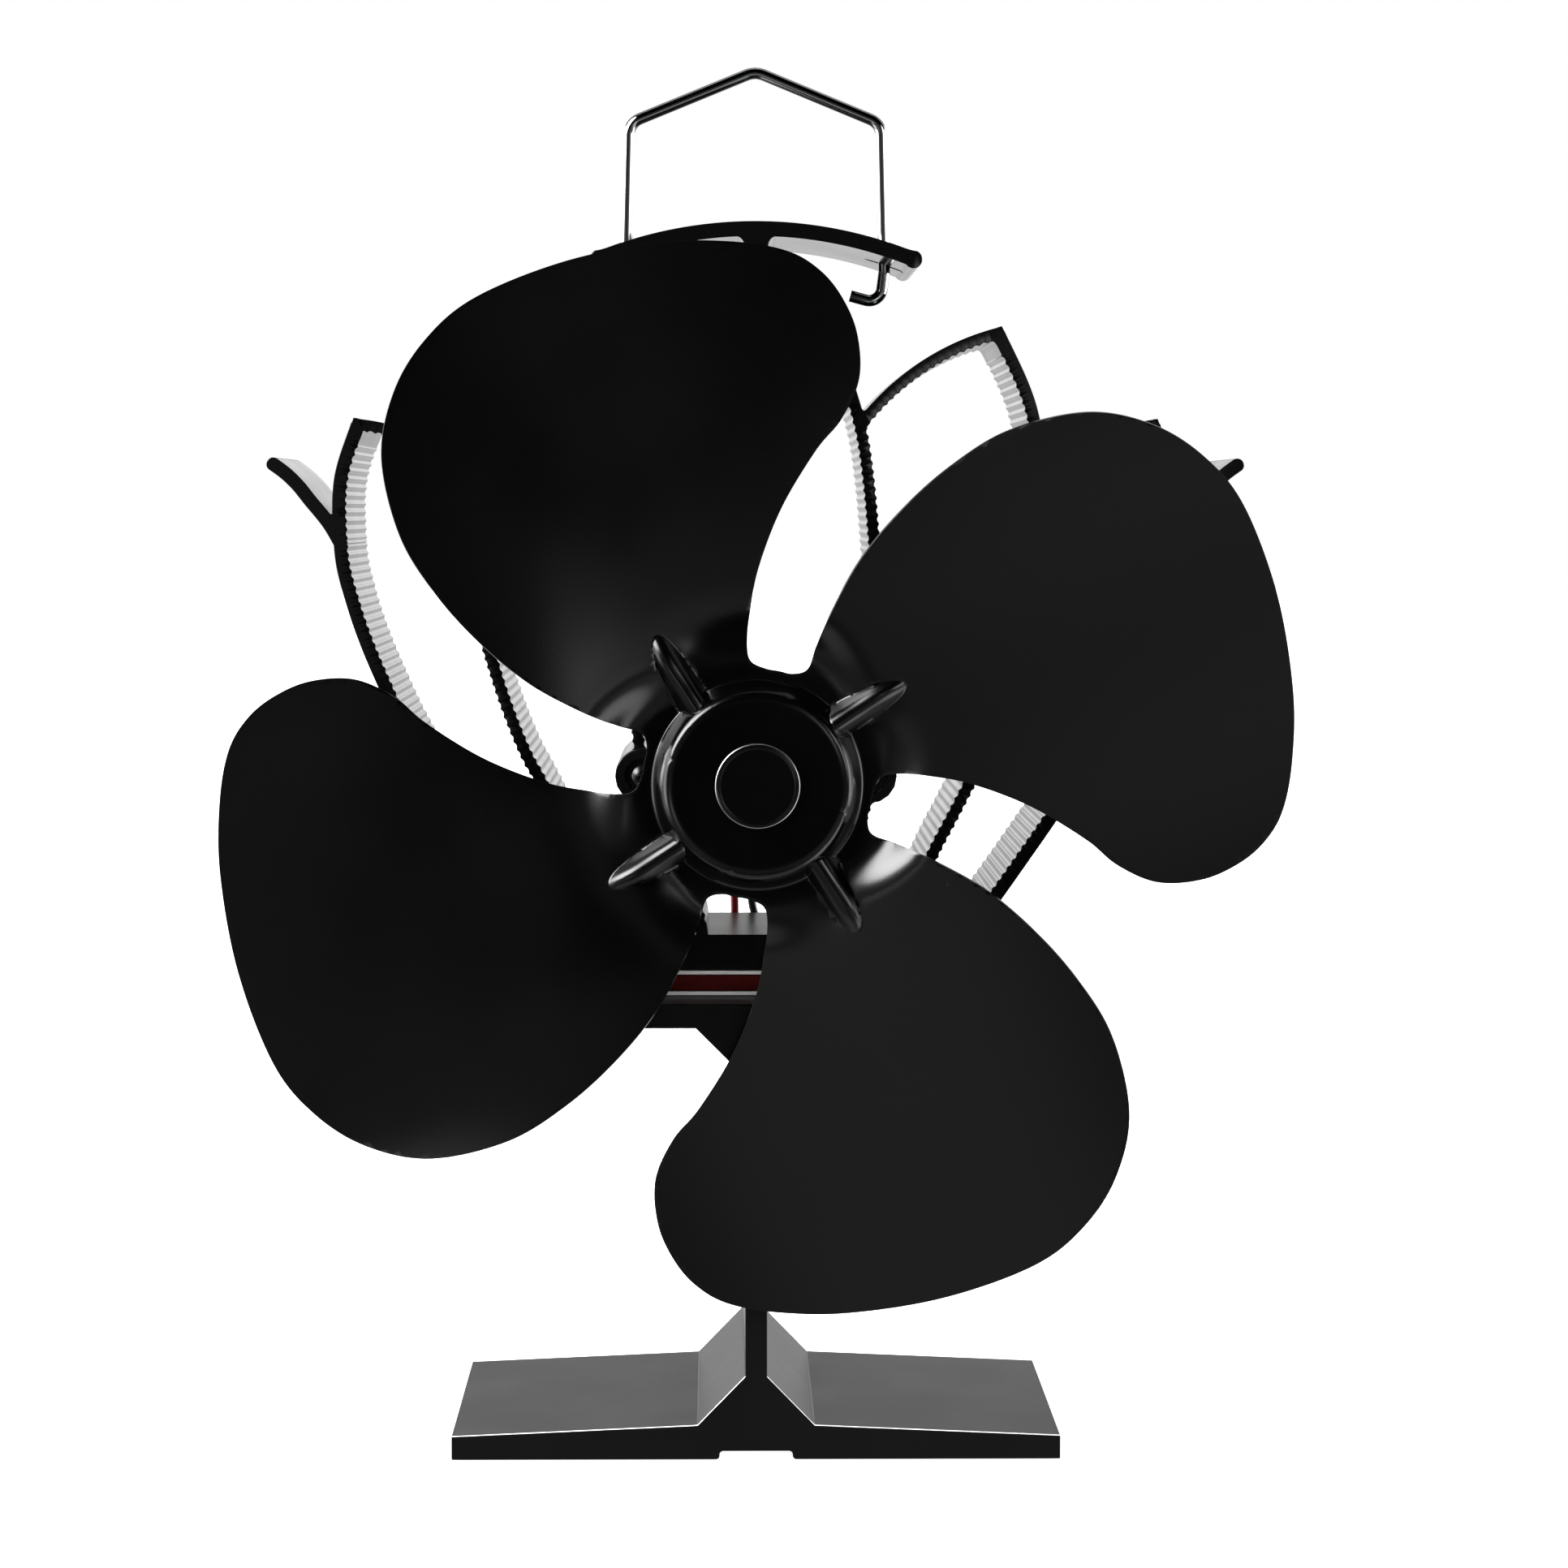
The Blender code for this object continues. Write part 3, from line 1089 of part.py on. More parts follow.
def make_blades():
    """Flat blank with its hole, pressed to shape, then given the sheet's thickness."""
    edge = blade_outline()
    hole = [Vector(p) for p in circle(0, 0, HUB_RADIUS + SEAT_GAP, CAP_SEGMENTS)]
    flat, triangles = fill_loops([edge, hole], blade_inner_points(edge))
    mesh = bpy.data.meshes.new("fan_blades")
    mesh.from_pydata([(p.x, p.y, sheet_forward(p.x, p.y)) for p in flat], [], triangles)
    blades = add_object("fan_blades", mesh, BLACK_PAINT, 40)
    blades.location = (0, plate_y(), HUB_HEIGHT)
    blades.rotation_euler = (math.pi / 2, 0, 0)
    sheet = blades.modifiers.new("sheet", "SOLIDIFY")
    sheet.thickness = SHEET_THICKNESS
    sheet.offset = 0


def make_hub():
    """Spool that holds the cap between its flange and shoulder, bored for the shaft."""
    cap_front = plate_y() - CAP_RISE - SHEET_THICKNESS / 2
    cap_rear = cap_front + SHEET_THICKNESS
    flange_rear = cap_front - SEAT_GAP
    flange_front = flange_rear - HUB_FLANGE_THICKNESS
    shoulder_front = cap_rear + SEAT_GAP
    shoulder_rear = shoulder_front + HUB_SHOULDER_THICKNESS
    end = STRAP_FRONT - HUB_TO_BRACKET_GAP
    bore = SHAFT_RADIUS + PRESS_GAP
    bottom = shaft_front() - SEAT_GAP
    hub = turned("hub", [(0, flange_front), (HUB_FLANGE_RADIUS, flange_front),
                         (HUB_FLANGE_RADIUS, flange_rear), (HUB_RADIUS, flange_rear),
                         (HUB_RADIUS, shoulder_front), (HUB_SHOULDER_RADIUS, shoulder_front),
                         (HUB_SHOULDER_RADIUS, shoulder_rear), (HUB_RADIUS, shoulder_rear),
                         (HUB_RADIUS, end), (bore, end), (bore, bottom), (0, bottom)],
                 (0, 0, HUB_HEIGHT), BLACK_STEEL, FINE_STEPS)
    grub_y = end - GRUB_INSET
    tip = SHAFT_RADIUS + SEAT_GAP
    drill(hub, "grub_thread", GRUB_RADIUS + PASTE_GAP, (0, grub_y, HUB_HEIGHT),
          (HUB_RADIUS + CUT_OVERRUN, grub_y, HUB_HEIGHT), SMALL_STEPS)
    mesh = cylinder_mesh("grub_screw", GRUB_RADIUS, (tip, grub_y, HUB_HEIGHT),
                         (tip + GRUB_LENGTH, grub_y, HUB_HEIGHT), SMALL_STEPS)
    add_object("grub_screw", mesh, BLACK_STEEL, 30)


def wire(name, path, radius, finish):
    """A round wire along a path."""
    curve = bpy.data.curves.new(name, "CURVE")
    curve.dimensions = "3D"
    curve.bevel_depth = radius
    curve.bevel_resolution = 2
    curve.use_fill_caps = True
    spline = curve.splines.new("POLY")
    spline.points.add(len(path) - 1)
    for point, place in zip(spline.points, path):
        point.co = (*place, 1)
    curve.materials.append(make_material(name, *finish))
    piece = bpy.data.objects.new(name, curve)
    part.objects.link(piece)
    return piece


def make_handle():
    """Wire handle: two legs through the arch's slots, hooked inward below it."""
    apex = ARCH_TOP + HANDLE_HEIGHT - WIRE_RADIUS
    shoulder = apex - HANDLE_SHOULDER_DROP
    slot_under = ARCH_CENTRE + math.sqrt(ARCH_RADIUS ** 2 - HANDLE_LEG_HALF ** 2) - ARCH_THICKNESS
    hook = slot_under - HOOK_DROP
    half = [(HANDLE_LEG_HALF - HOOK_LENGTH, hook + HOOK_TILT), (HANDLE_LEG_HALF - HOOK_TILT / 2, hook),
            (HANDLE_LEG_HALF, slot_under), (HANDLE_SHOULDER_HALF, shoulder)]
    corners = [Vector((x, z)) for x, z in half] + [Vector((0, apex))]
    corners += [Vector((-x, z)) for x, z in reversed(half)]
    radii = [HOOK_BEND, HOOK_BEND, SHOULDER_BEND, APEX_BEND, SHOULDER_BEND, HOOK_BEND, HOOK_BEND]
    path = [(p.x, SINK_DEPTH / 2, p.y) for p in rounded_outline(corners, [0] + radii + [0])]
    wire("handle", path, WIRE_RADIUS, CHROME)


def make_leads():
    """Red and black leads, from the motor's tabs down behind the block to the module's rear edge."""
    tab_x = TERMINAL_SPACING / 2
    tab_end = MOTOR_REAR + TERMINAL_LENGTH + SEAT_GAP
    exit_y = SINK_DEPTH / 2 + MODULE_SIZE / 2 + SEAT_GAP
    depth = exit_y + LEAD_STAND_OFF - tab_end
    exit_z = (CORE_BOTTOM + CORE_TOP) / 2
    drop = HUB_HEIGHT - exit_z
    red_route, black_route = [], []
    for red, black, back, down in LEAD_ROUTE_SHARES:
        y = tab_end + back * depth
        z = HUB_HEIGHT - down * drop
        red_route.append((-red * tab_x, y, z))
        black_route.append((black * tab_x, y, z))
    for route in (red_route, black_route):
        route += [(route[-1][0], exit_y + LEAD_DIAMETER, exit_z), (route[-1][0], exit_y, exit_z)]
    wire("lead_red", smooth_through(red_route, LEAD_STEP), LEAD_RADIUS, RED_SLEEVE)
    wire("lead_black", smooth_through(black_route, LEAD_STEP), LEAD_RADIUS, BLACK_SLEEVE)


def front_reach():
    """How far the blades' edges reach in front of the flat ring, with half the sheet."""
    return SHEET_THICKNESS / 2 + max(sheet_forward(p.x, p.y) for p in blade_outline())


def hang(name, place, pieces, parent=None):
    """Parent pieces to an empty at a place, and leave them where they are."""
    empty = bpy.data.objects.new(name, None)
    part.objects.link(empty)
    empty.location = place
    empty.parent = parent
    for piece in pieces:
        piece.parent = empty
        piece.matrix_parent_inverse = Matrix.Translation(place).inverted()
    return empty


def assemble():
    """Hang the turning pieces on the motor's axis, the handle on its slots, and all of it on one frame."""
    turning = ["fan_blades", "hub", "grub_screw", "grub_thread", "motor_shaft", "armature_core", "core_bore",
               "commutator"]
    for letter in COIL_LETTERS:
        turning += ["winding_" + letter, "winding_" + letter + "_window"]
    pieces = {piece.name: piece for piece in list(part.objects) + list(cutters.objects)}
    rotor = hang("rotor_axis", (0, 0, HUB_HEIGHT), [pieces.pop(name) for name in turning])
    slots = hang("handle_guide", (0, SINK_DEPTH / 2, ARCH_TOP), [pieces.pop("handle")])
    frame = hang("fan_frame", (0, 0, 0), pieces.values())
    rotor.parent = frame
    slots.parent = frame
    rear = BASE_FRONT + BASE_DEPTH
    front = plate_y() - front_reach()
    frame.location.y = -(front + rear) / 2


clear_scene()
part = make_collection("stove_fan")
cutters = make_collection("cutters")
make_base()
make_safety_strip()
make_module()
make_heat_sink()
make_clamps()
make_bracket()
make_bracket_screws()
make_motor_shell()
make_magnets()
make_armature()
make_blades()
make_hub()
make_handle()
make_leads()
assemble()
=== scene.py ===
"""Looks of a heat-powered stove fan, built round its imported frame.

Black painted extrusions, a pressed propeller, a chromed wire handle, a small motor on its bracket, and the
thermoelectric module with its leads. Metres, +Z up, and the fan faces -Y.
"""
import math

import bmesh
import bpy
from mathutils import Matrix, Vector
from mathutils.geometry import delaunay_2d_cdt


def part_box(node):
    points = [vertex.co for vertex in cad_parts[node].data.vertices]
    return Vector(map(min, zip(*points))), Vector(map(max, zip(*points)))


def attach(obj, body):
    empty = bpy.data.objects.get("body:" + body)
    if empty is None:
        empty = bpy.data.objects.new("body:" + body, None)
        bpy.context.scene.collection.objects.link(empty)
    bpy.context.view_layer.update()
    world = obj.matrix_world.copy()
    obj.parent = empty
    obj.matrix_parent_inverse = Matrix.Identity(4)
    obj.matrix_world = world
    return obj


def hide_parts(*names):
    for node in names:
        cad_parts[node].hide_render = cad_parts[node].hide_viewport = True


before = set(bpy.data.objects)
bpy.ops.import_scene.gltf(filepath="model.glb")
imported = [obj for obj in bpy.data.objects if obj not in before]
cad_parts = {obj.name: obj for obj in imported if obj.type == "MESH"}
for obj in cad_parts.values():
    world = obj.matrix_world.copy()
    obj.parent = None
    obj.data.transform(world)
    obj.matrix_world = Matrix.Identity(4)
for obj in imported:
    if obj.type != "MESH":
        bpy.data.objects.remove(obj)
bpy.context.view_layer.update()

# Places that come from the frame
SINK_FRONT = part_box("heat_sink")[0].y
SINK_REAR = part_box("heat_sink")[1].y
SINK_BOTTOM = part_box("heat_sink")[0].z
SINK_MIDDLE = (SINK_FRONT + SINK_REAR) / 2
AXIS_HEIGHT = (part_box("hub")[0].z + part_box("hub")[1].z) / 2

# Heat sink, the sizes of the frame's own extrusion
SINK_HEIGHT = 0.1253
SINK_WIDTH = 0.1634
BLOCK_HALF = 0.034
BLOCK_HEIGHT = 0.006
BLOCK_RADIUS = 0.0012
INNER_FIN = 0.0021
MIDDLE_FIN = 0.0022
OUTER_FIN = 0.0024
PETAL_ARC = 0.0020
LEAF_FIN = 0.0023
STALK_THICKNESS = 0.0040
STALK_FILLET = 0.0016
ARCH_THICKNESS = 0.0025
ARCH_SPAN = 0.0524
ARCH_RADIUS = 0.0705
ARCH_BEAD_RADIUS = 0.0015
ARCH_STEPS = 60
EAR_HALF = 0.0190
EAR_RADIUS = 0.0046
RIB_PITCH = 0.00145
RIB_HEIGHT = 0.00042
RIB_CREST = 0.0002
RIB_POINTS = 8
RIB_BLUNTNESS = 0.75
PLAIN_POINTS = 4
CURVE_STEP = 0.0009
EDGE_ROUND = 0.00014
CORNER_FILLET = 0.0008
CORNER_ROUND = 0.00035
INNER_CORNER_DEGREES = 30
OUTER_CORNER_DEGREES = 34
MERGE_DISTANCE = 0.000002
FLAT_DEGREES = 1
TURNED_STEPS = 96
SMALL_STEPS = 32

# Fin centre lines, as shares of the half width and levels: 0 is the block's top, 1 the motor's axis and 2
# the middle of the arch's wall at its top
INNER_FIN_SHARES = ((0.47, -0.10), (0.48, 0.03), (0.54, 0.21), (0.66, 0.38), (0.82, 0.55), (0.95, 0.76),
                    (1.00, 1.00), (1.06, 1.12), (1.075, 1.24), (1.06, 1.36), (1.03, 1.45), (0.99, 1.54),
                    (0.925, 1.63), (0.80, 1.72), (0.66, 1.785), (0.50, 1.845), (0.30, 1.895), (0.03, 1.935))
MIDDLE_FIN_SHARES = ((0.287, -0.10), (0.297, 0.02), (0.330, 0.27), (0.368, 0.53), (0.404, 0.74),
                     (0.446, 0.99), (0.472, 1.04), (0.504, 1.11), (0.534, 1.19), (0.565, 1.29),
                     (0.583, 1.39), (0.588, 1.48), (0.582, 1.57), (0.567, 1.655), (0.543, 1.72),
                     (0.495, 1.81))
OUTER_FIN_SHARES = ((0.410, -0.07), (0.447, 0.05), (0.493, 0.24), (0.546, 0.47), (0.607, 0.74),
                    (0.673, 1.015), (0.726, 1.10), (0.761, 1.168), (0.795, 1.24), (0.822, 1.31),
                    (0.845, 1.39), (0.851, 1.47), (0.8505, 1.52), (0.841, 1.57), (0.813, 1.642))
LEAF_SHARES = ((0.846, 1.42), (0.874, 1.463), (0.912, 1.505), (0.935, 1.531), (0.960, 1.553),
               (0.9855, 1.57))
INNER_ARC_LEVEL_SHARE = 1.64
OUTER_ARC_LEVEL_SHARE = 1.563
INNER_ARC_BOW_SHARE = 0.085
OUTER_ARC_BOW_SHARE = 0.07
PLAIN_TIP_SHARE = 0.06

# Handle's slots and wire
HANDLE_LEG_HALF = 0.0221
SLOT_LENGTH = 0.0068
SLOT_HALF_WIDTH = 0.0014
SLOT_CUT_DOWN = 0.012
SLOT_CUT_UP = 0.004
WIRE_RADIUS = 0.001

# Propeller, the sizes of the frame's own pressing
FAN_RADIUS = 0.0907
BLADE_COUNT = 4
SHEET_THICKNESS = 0.0010
BLADE_EDGE_ROUND = 0.00028
HUB_HOLE_RADIUS = 0.0053
SEAT_GAP = 0.0003
PRESSING_SIZES = {"Cap Rise": 0.0040, "Cap Top Radius": 0.0142, "Cap Foot Radius": 0.0172,
                  "Bend Start Radius": 0.0194, "Bend End Radius": 0.0290,
                  "Bend Lead": 0.0020, "Lead Start": math.radians(30), "Lead End": math.radians(44),
                  "Bend Skew": 0.0086, "Skew Start": math.radians(44), "Blade Axis": math.radians(22),
                  "Slope": 0.27, "Reach": 0.0110, "Camber": 0.0010, "Fan Radius": FAN_RADIUS,
                  "Root Rise": 0.0005, "Root Fade Start": 0.0300, "Root Fade End": 0.0850,
                  "Rib Rise": 0.0030, "Rib Half Width": 0.0025, "Rib End Radius": 0.0290,
                  "Rib Root": math.radians(38.4), "Rib Tip": math.radians(34.6)}
BLADE_EDGE_SHARES = ((0.208, -18), (0.2065, -11), (0.208, -4), (0.221, 3.0), (0.250, 4.2), (0.305, 2.7),
                     (0.386, -0.2), (0.496, -5.0), (0.606, -10.0), (0.672, -13.1), (0.750, -14.2),
                     (0.827, -12.6), (0.885, -10.0), (0.928, -7.0), (0.957, -3.2), (0.972, 2.5),
                     (0.983, 10), (0.993, 20), (1.000, 30), (0.985, 36.6), (0.948, 42.7), (0.882, 48.8),
                     (0.772, 54.9), (0.662, 59.1), (0.551, 62.7), (0.441, 65.8), (0.331, 67.2),
                     (0.272, 66.9), (0.226, 66.4))
BLADE_MERGE_DISTANCE = 0.00001
LEAST_TAPER_SHARE = 0.0001

# How finely the blank is divided: steps round its outline, and gaps between the points inside it
BLANK_START = math.radians(BLADE_EDGE_SHARES[0][1])
EDGE_STEPS = 10
SIDE_STEPS = 28
HOLE_STEPS = 24
RING_LEAD = 0.1
RING_REACH_SHARE = 1.2
CAP_GRID_START = 0.0138
CAP_GRID_END = 0.0205
RIB_GRID_END = 0.0305
CAP_POINT_STEP = 0.0006
CAP_RING_STEP = 0.00032
RIB_RING_STEP = 0.0007
BLADE_POINT_STEP = 0.0013
RIB_ROWS = 45
RIB_SIDE_POINTS = 7
RIB_POINT_STEP = 0.00031
POINT_GAP = 0.0004
GRID_CELL = 0.001

# Hub: points across the flange's dished face are given as radius and depth
HUB_FACE = ((0, 0.00012), (0.0060, 0.0001), (0.00625, 0.0), (0.0069, 0.00012))
HUB_FLANGE_RADIUS = 0.0069
HUB_FLANGE_THICKNESS = 0.0009
HUB_RADIUS = 0.0050
HUB_SHOULDER_RADIUS = 0.0076
HUB_SHOULDER_THICKNESS = 0.0016
HUB_BORE_RADIUS = 0.00115
HUB_BORE_START = 0.0034
HUB_EDGE_ROUND = 0.00022
GRUB_HOLE_DEPTH = 0.006
GRUB_HOLE_EASE = 0.00002
GRUB_HOLE_START = 0.0001

# Motor's can: boss, wall, and the rolled rim at its rear
CAN_BORE = 0.00285
CAN_BOSS_RADIUS = 0.0033
CAN_BOSS_LENGTH = 0.0018
CAN_FLOOR = 0.0026
CAN_WALL = 0.0008
CAN_RIM_STEP = 0.00025
CAN_RIM_START = 0.0012
CAN_RIM_LENGTH = 0.0009
CAN_ROUND = 0.0004

# Handle: heights go down from its point and from the arch's underside
SHOULDER_DROP = 0.0088
SHOULDER_HALF = 0.0215
HOOK_DROP = 0.0055
HOOK_TILT = 0.0014
HOOK_END = 0.0058
HOOK_CORNER = 0.0007
HANDLE_BENDS = (0.0022, 0.0022, 0.0030, 0.0040, 0.0030, 0.0022, 0.0022)
WIRE_SIDES = 32

# Leads: each row of shares is one point of their route: how far out the red and the black one are (1 is the
# motor's tab), how far back (0 is the end of the tab, 1 the run behind the block) and how far down
LEAD_DIAMETER = 0.0014
LEAD_STAND_OFF = 0.0040
LEAD_STEP = 0.0006
LEAD_SIDES = 20
TAB_X = 0.0068
LEAD_ROUTE_SHARES = ((1, 1, 0, 0), (1, 1, 0.17, 0), (0.90, 0.90, 0.42, 0.12), (0.60, 0.325, 0.92, 0.383),
                     (0.50, -0.05, 1, 0.686), (0.50, 0.28, 1, 0.897), (0.50, 0.50, 0.92, 0.98))

# Screws: the recess is given by its half length, and turned by an angle
EAR_SCREW = {"Head Radius": 0.0019, "Head Height": 0.0011, "Shank Radius": 0.0012, "Recess": 0.00095,
             "Turn": 0.35}
MOTOR_SCREW = {"Head Radius": 0.0020, "Head Height": 0.0012, "Shank Radius": 0.0010, "Recess": 0.0010,
               "Turn": 0.9}
CLAMP_SCREW = {"Head Radius": 0.0027, "Head Height": 0.0022, "Shank Radius": 0.0015, "Recess": 0.0014,
               "Turn": 0.2}
MOTOR_SCREW_HALF_SPACING = 0.008
CLAMP_HALF_SPACING = 0.0255
SHANK_OVERLAP = 0.0001
CROWN_DROP_SHARE = 0.62
CROWN_POWER = 2.6
HEAD_TAPER_SHARE = 0.1
RECESS_WIDTH_SHARE = 0.36
RECESS_DEPTH_SHARE = 1.7


class Field:
    """One output of a node. Sums, products and powers of fields add Math nodes to its tree."""

    def __init__(self, graph, socket):
        self.graph = graph
        self.socket = socket

    def maths(self, operation, *values):
        return self.graph.node("ShaderNodeMath", {"operation": operation}, *values)

    def __add__(self, other):
        return self.maths("ADD", self, other)

    __radd__ = __add__

    def __sub__(self, other):
        return self.maths("SUBTRACT", self, other)

    def __rsub__(self, other):
        return self.maths("SUBTRACT", other, self)

    def __mul__(self, other):
        return self.maths("MULTIPLY", self, other)

    __rmul__ = __mul__

    def __truediv__(self, other):
        return self.maths("DIVIDE", self, other)

    def __rtruediv__(self, other):
        return self.maths("DIVIDE", other, self)

    def __pow__(self, other):
        return self.maths("POWER", self, other)

    def __abs__(self):
        return self.maths("ABSOLUTE", self)

    def sine(self):
        return self.maths("SINE", self)

    def root(self):
        return self.maths("SQRT", self)

    def larger(self, other):
        return self.maths("MAXIMUM", self, other)

    def smaller(self, other):
        return self.maths("MINIMUM", self, other)

    def limited(self):
        """The value, held between 0 and 1."""
        return self.larger(0.0).smaller(1.0)

    def rising(self, start, end, shape="SMOOTHSTEP"):
        """0 below start, 1 above end, and smooth between them."""
        return self.graph.node("ShaderNodeMapRange", {"interpolation_type": shape},
                               Value=self, **{"From Min": start, "From Max": end})


class Graph:
    """A node tree that is written as calls."""

    def __init__(self, tree):
        self.tree = tree

    def node(self, kind, settings=None, *values, output=None, **named):
        """Add a node, set it, feed its sockets, and return its first live output or the ones named."""
        made = self.tree.nodes.new(kind)
        for name, value in (settings or {}).items():
            setattr(made, name, value)
        live = [socket for socket in made.inputs if socket.enabled]
        for socket, value in list(zip(live, values)) + [(self.find(live, key), named[key]) for key in named]:
            self.feed(socket, value)
        outputs = [socket for socket in made.outputs if socket.enabled]
        if output is None:
            return Field(self, outputs[0]) if outputs else made
        if isinstance(output, str):
            return Field(self, self.find(outputs, output))
        return [Field(self, self.find(outputs, name)) for name in output]

    @staticmethod
    def find(sockets, name):
        return next(socket for socket in sockets if socket.name == name)

    def feed(self, socket, value):
        if isinstance(value, Field):
            self.tree.links.new(value.socket, socket)
        elif value is not None:
            socket.default_value = value


# Finishes. Where a look changes over a stretch, the stretch is given as its start and its end

MICRON = 0.000001
HIGHLIGHT_EDGE_DEPTH = (0.00022, 0.00042)
HIGHLIGHT_EDGE_HEIGHT = (0.035, 0.04)
HAZE_START = (0.0185, 0.0215)
HAZE_END = (0.029, 0.034)
HIGHLIGHT_RIM_START = (0.00670, 0.00676)
HIGHLIGHT_RIM_END = (0.00688, 0.00690)
LAMINATION = 0.0005
WOUND_WIRE = 0.00032
THERMOCOUPLE_PITCH = 0.0026


def grey(value):
    return (value, value, value)


class Finish(Graph):
    """A Principled material whose patterns lie in the object's own coordinates."""

    def __init__(self, name, **constants):
        self.material = bpy.data.materials.new(name)
        self.material.use_nodes = True
        super().__init__(self.material.node_tree)
        self.shader = self.tree.nodes["Principled BSDF"]
        for key, value in constants.items():
            self.shader.inputs[key.replace("_", " ")].default_value = value
        self.place = self.node("ShaderNodeTexCoord", output="Object")

    def stretched(self, scale):
        """The object's coordinates, scaled along each axis."""
        return self.node("ShaderNodeMapping", {"vector_type": "POINT"}, Vector=self.place, Scale=scale)

    def noise(self, scale, detail=3.0, roughness=0.5, place=None):
        return self.node("ShaderNodeTexNoise", None, Vector=place or self.place, Scale=scale, Detail=detail,
                         Roughness=roughness)

    def spots(self, scale):
        """Distance to the nearest of many scattered points."""
        return self.node("ShaderNodeTexVoronoi", None, Vector=self.place, Scale=scale, output="Distance")

    def parts(self):
        """X, Y and Z of the object's coordinates."""
        return self.node("ShaderNodeSeparateXYZ", None, self.place, output=("X", "Y", "Z"))

    def blend(self, share, low, high):
        """Colour between low and high."""
        return self.node("ShaderNodeMix", {"data_type": "RGBA"}, Factor=share, A=self.rgba(low),
                         B=self.rgba(high), output="Result")

    @staticmethod
    def rgba(colour):
        return (*colour, 1) if isinstance(colour, tuple) and len(colour) == 3 else colour

    def set(self, **values):
        for key, value in values.items():
            self.feed(self.shader.inputs[key.replace("_", " ")], value)

    def glow(self, level):
        """Give off white light of the level."""
        self.set(Emission_Color=self.node("ShaderNodeCombineColor", None, level, level, level))
        self.set(Emission_Strength=1.0)

    def from_axis(self):
        """Distance from the axis that the rotor turns about."""
        x, _, z = self.parts()
        height = z - AXIS_HEIGHT
        return (x * x + height * height).root()

    def bump(self, height, depth, under=None):
        """Normal from a height field of 0 to 1 that is so many metres deep."""
        return self.node("ShaderNodeBump", None, Height=height, Distance=depth, Strength=1.0, Normal=under)


def painted_extrusion(name, tone, roughness, highlight_front=None):
    """Baked black paint over an extrusion: low gloss grain, fine die lines along Y and a few specks.

    Where the last argument is given, it is the front's place along Y, and a painted highlight, a pale line,
    is drawn on the upward edges of the front, low down."""
    skin = Finish(name, Specular_IOR_Level=0.55)
    grain = skin.noise(2600, 3)
    cloud = skin.noise(55, 4, 0.6).rising(0.3, 0.7)
    lines = skin.noise(900, 2, place=skin.stretched((1, 0.02, 1)))
    speck = skin.spots(420).rising(0.13, 0.05) * skin.noise(90).rising(0.62, 0.7)
    body = skin.blend(cloud, grey(tone * 0.8), grey(tone * 1.2))
    body = skin.blend(speck * 0.3, body, grey(0.03))
    _, depth, height = skin.parts()
    facing = skin.node("ShaderNodeNewGeometry", output="Normal")
    _, _, upward = skin.node("ShaderNodeSeparateXYZ", None, facing, output=("X", "Y", "Z"))
    # Painted highlight: a pale line on the upward edges of the front, low down on the base.
    if highlight_front is not None:
        painted_highlight = (1 - (depth - highlight_front).rising(*HIGHLIGHT_EDGE_DEPTH)) * upward.rising(0.2, 0.45)
        body = skin.blend(painted_highlight * (1 - height.rising(*HIGHLIGHT_EDGE_HEIGHT)), body, grey(0.95))
    dust = upward.rising(0.85, 0.97) * 0.16
    skin.set(Base_Color=body, Roughness=roughness + cloud * 0.03 + grain * 0.03 + dust)
    skin.set(Normal=skin.bump(lines, 2 * MICRON, under=skin.bump(grain, 1.5 * MICRON)))
    return skin.material


def painted_sheet():
    """The propeller's satin paint: soft, even, with a very fine grain and faint clouds."""
    skin = Finish("black_paint_on_sheet", Specular_IOR_Level=0.5)
    grain = skin.noise(3200, 2)
    cloud = skin.noise(38, 3, 0.55).rising(0.3, 0.7)
    dust = skin.spots(300).rising(0.09, 0.04) * skin.noise(70).rising(0.64, 0.7)
    radius = skin.from_axis()
    bend = radius.rising(*HAZE_START) * (1 - radius.rising(*HAZE_END))
    body = skin.blend(cloud, grey(0.0003), grey(0.0007))
    skin.set(Base_Color=skin.blend(dust * 0.3, body, grey(0.02)),
             Roughness=0.14 + bend * 0.05 + cloud * 0.03 + grain * 0.03)
    skin.set(Normal=skin.bump(grain, 4 * MICRON))
    return skin.material


def black_steel(name, roughness):
    """Black plating, with a fine matt grain."""
    skin = Finish(name, Metallic=0.1, Specular_IOR_Level=0.6)
    grain = skin.noise(3000, 3)
    cloud = skin.noise(240, 3)
    skin.set(Base_Color=skin.blend(cloud, grey(0.0006), grey(0.002)),
             Roughness=roughness + grain * 0.08, Normal=skin.bump(grain, 4 * MICRON))
    return skin.material


def hub_plating():
    """Black plating, with a painted highlight: a ring of bright metal on the flange's front edge."""
    skin = Finish("black_hub_plating", Specular_IOR_Level=0.6)
    grain = skin.noise(3000, 3)
    cloud = skin.noise(240, 3)
    radius = skin.from_axis()
    # Painted highlight: a narrow ring of bright metal round the flange's front edge.
    painted_highlight = radius.rising(*HIGHLIGHT_RIM_START) * (1 - radius.rising(*HIGHLIGHT_RIM_END))
    black = skin.blend(cloud, grey(0.0002), grey(0.0007))
    skin.set(Base_Color=skin.blend(painted_highlight, black, grey(0.42)), Metallic=0.1 + painted_highlight * 0.9,
             Roughness=0.16 + grain * 0.08 + painted_highlight * 0.1, Normal=skin.bump(grain, 4 * MICRON))
    return skin.material


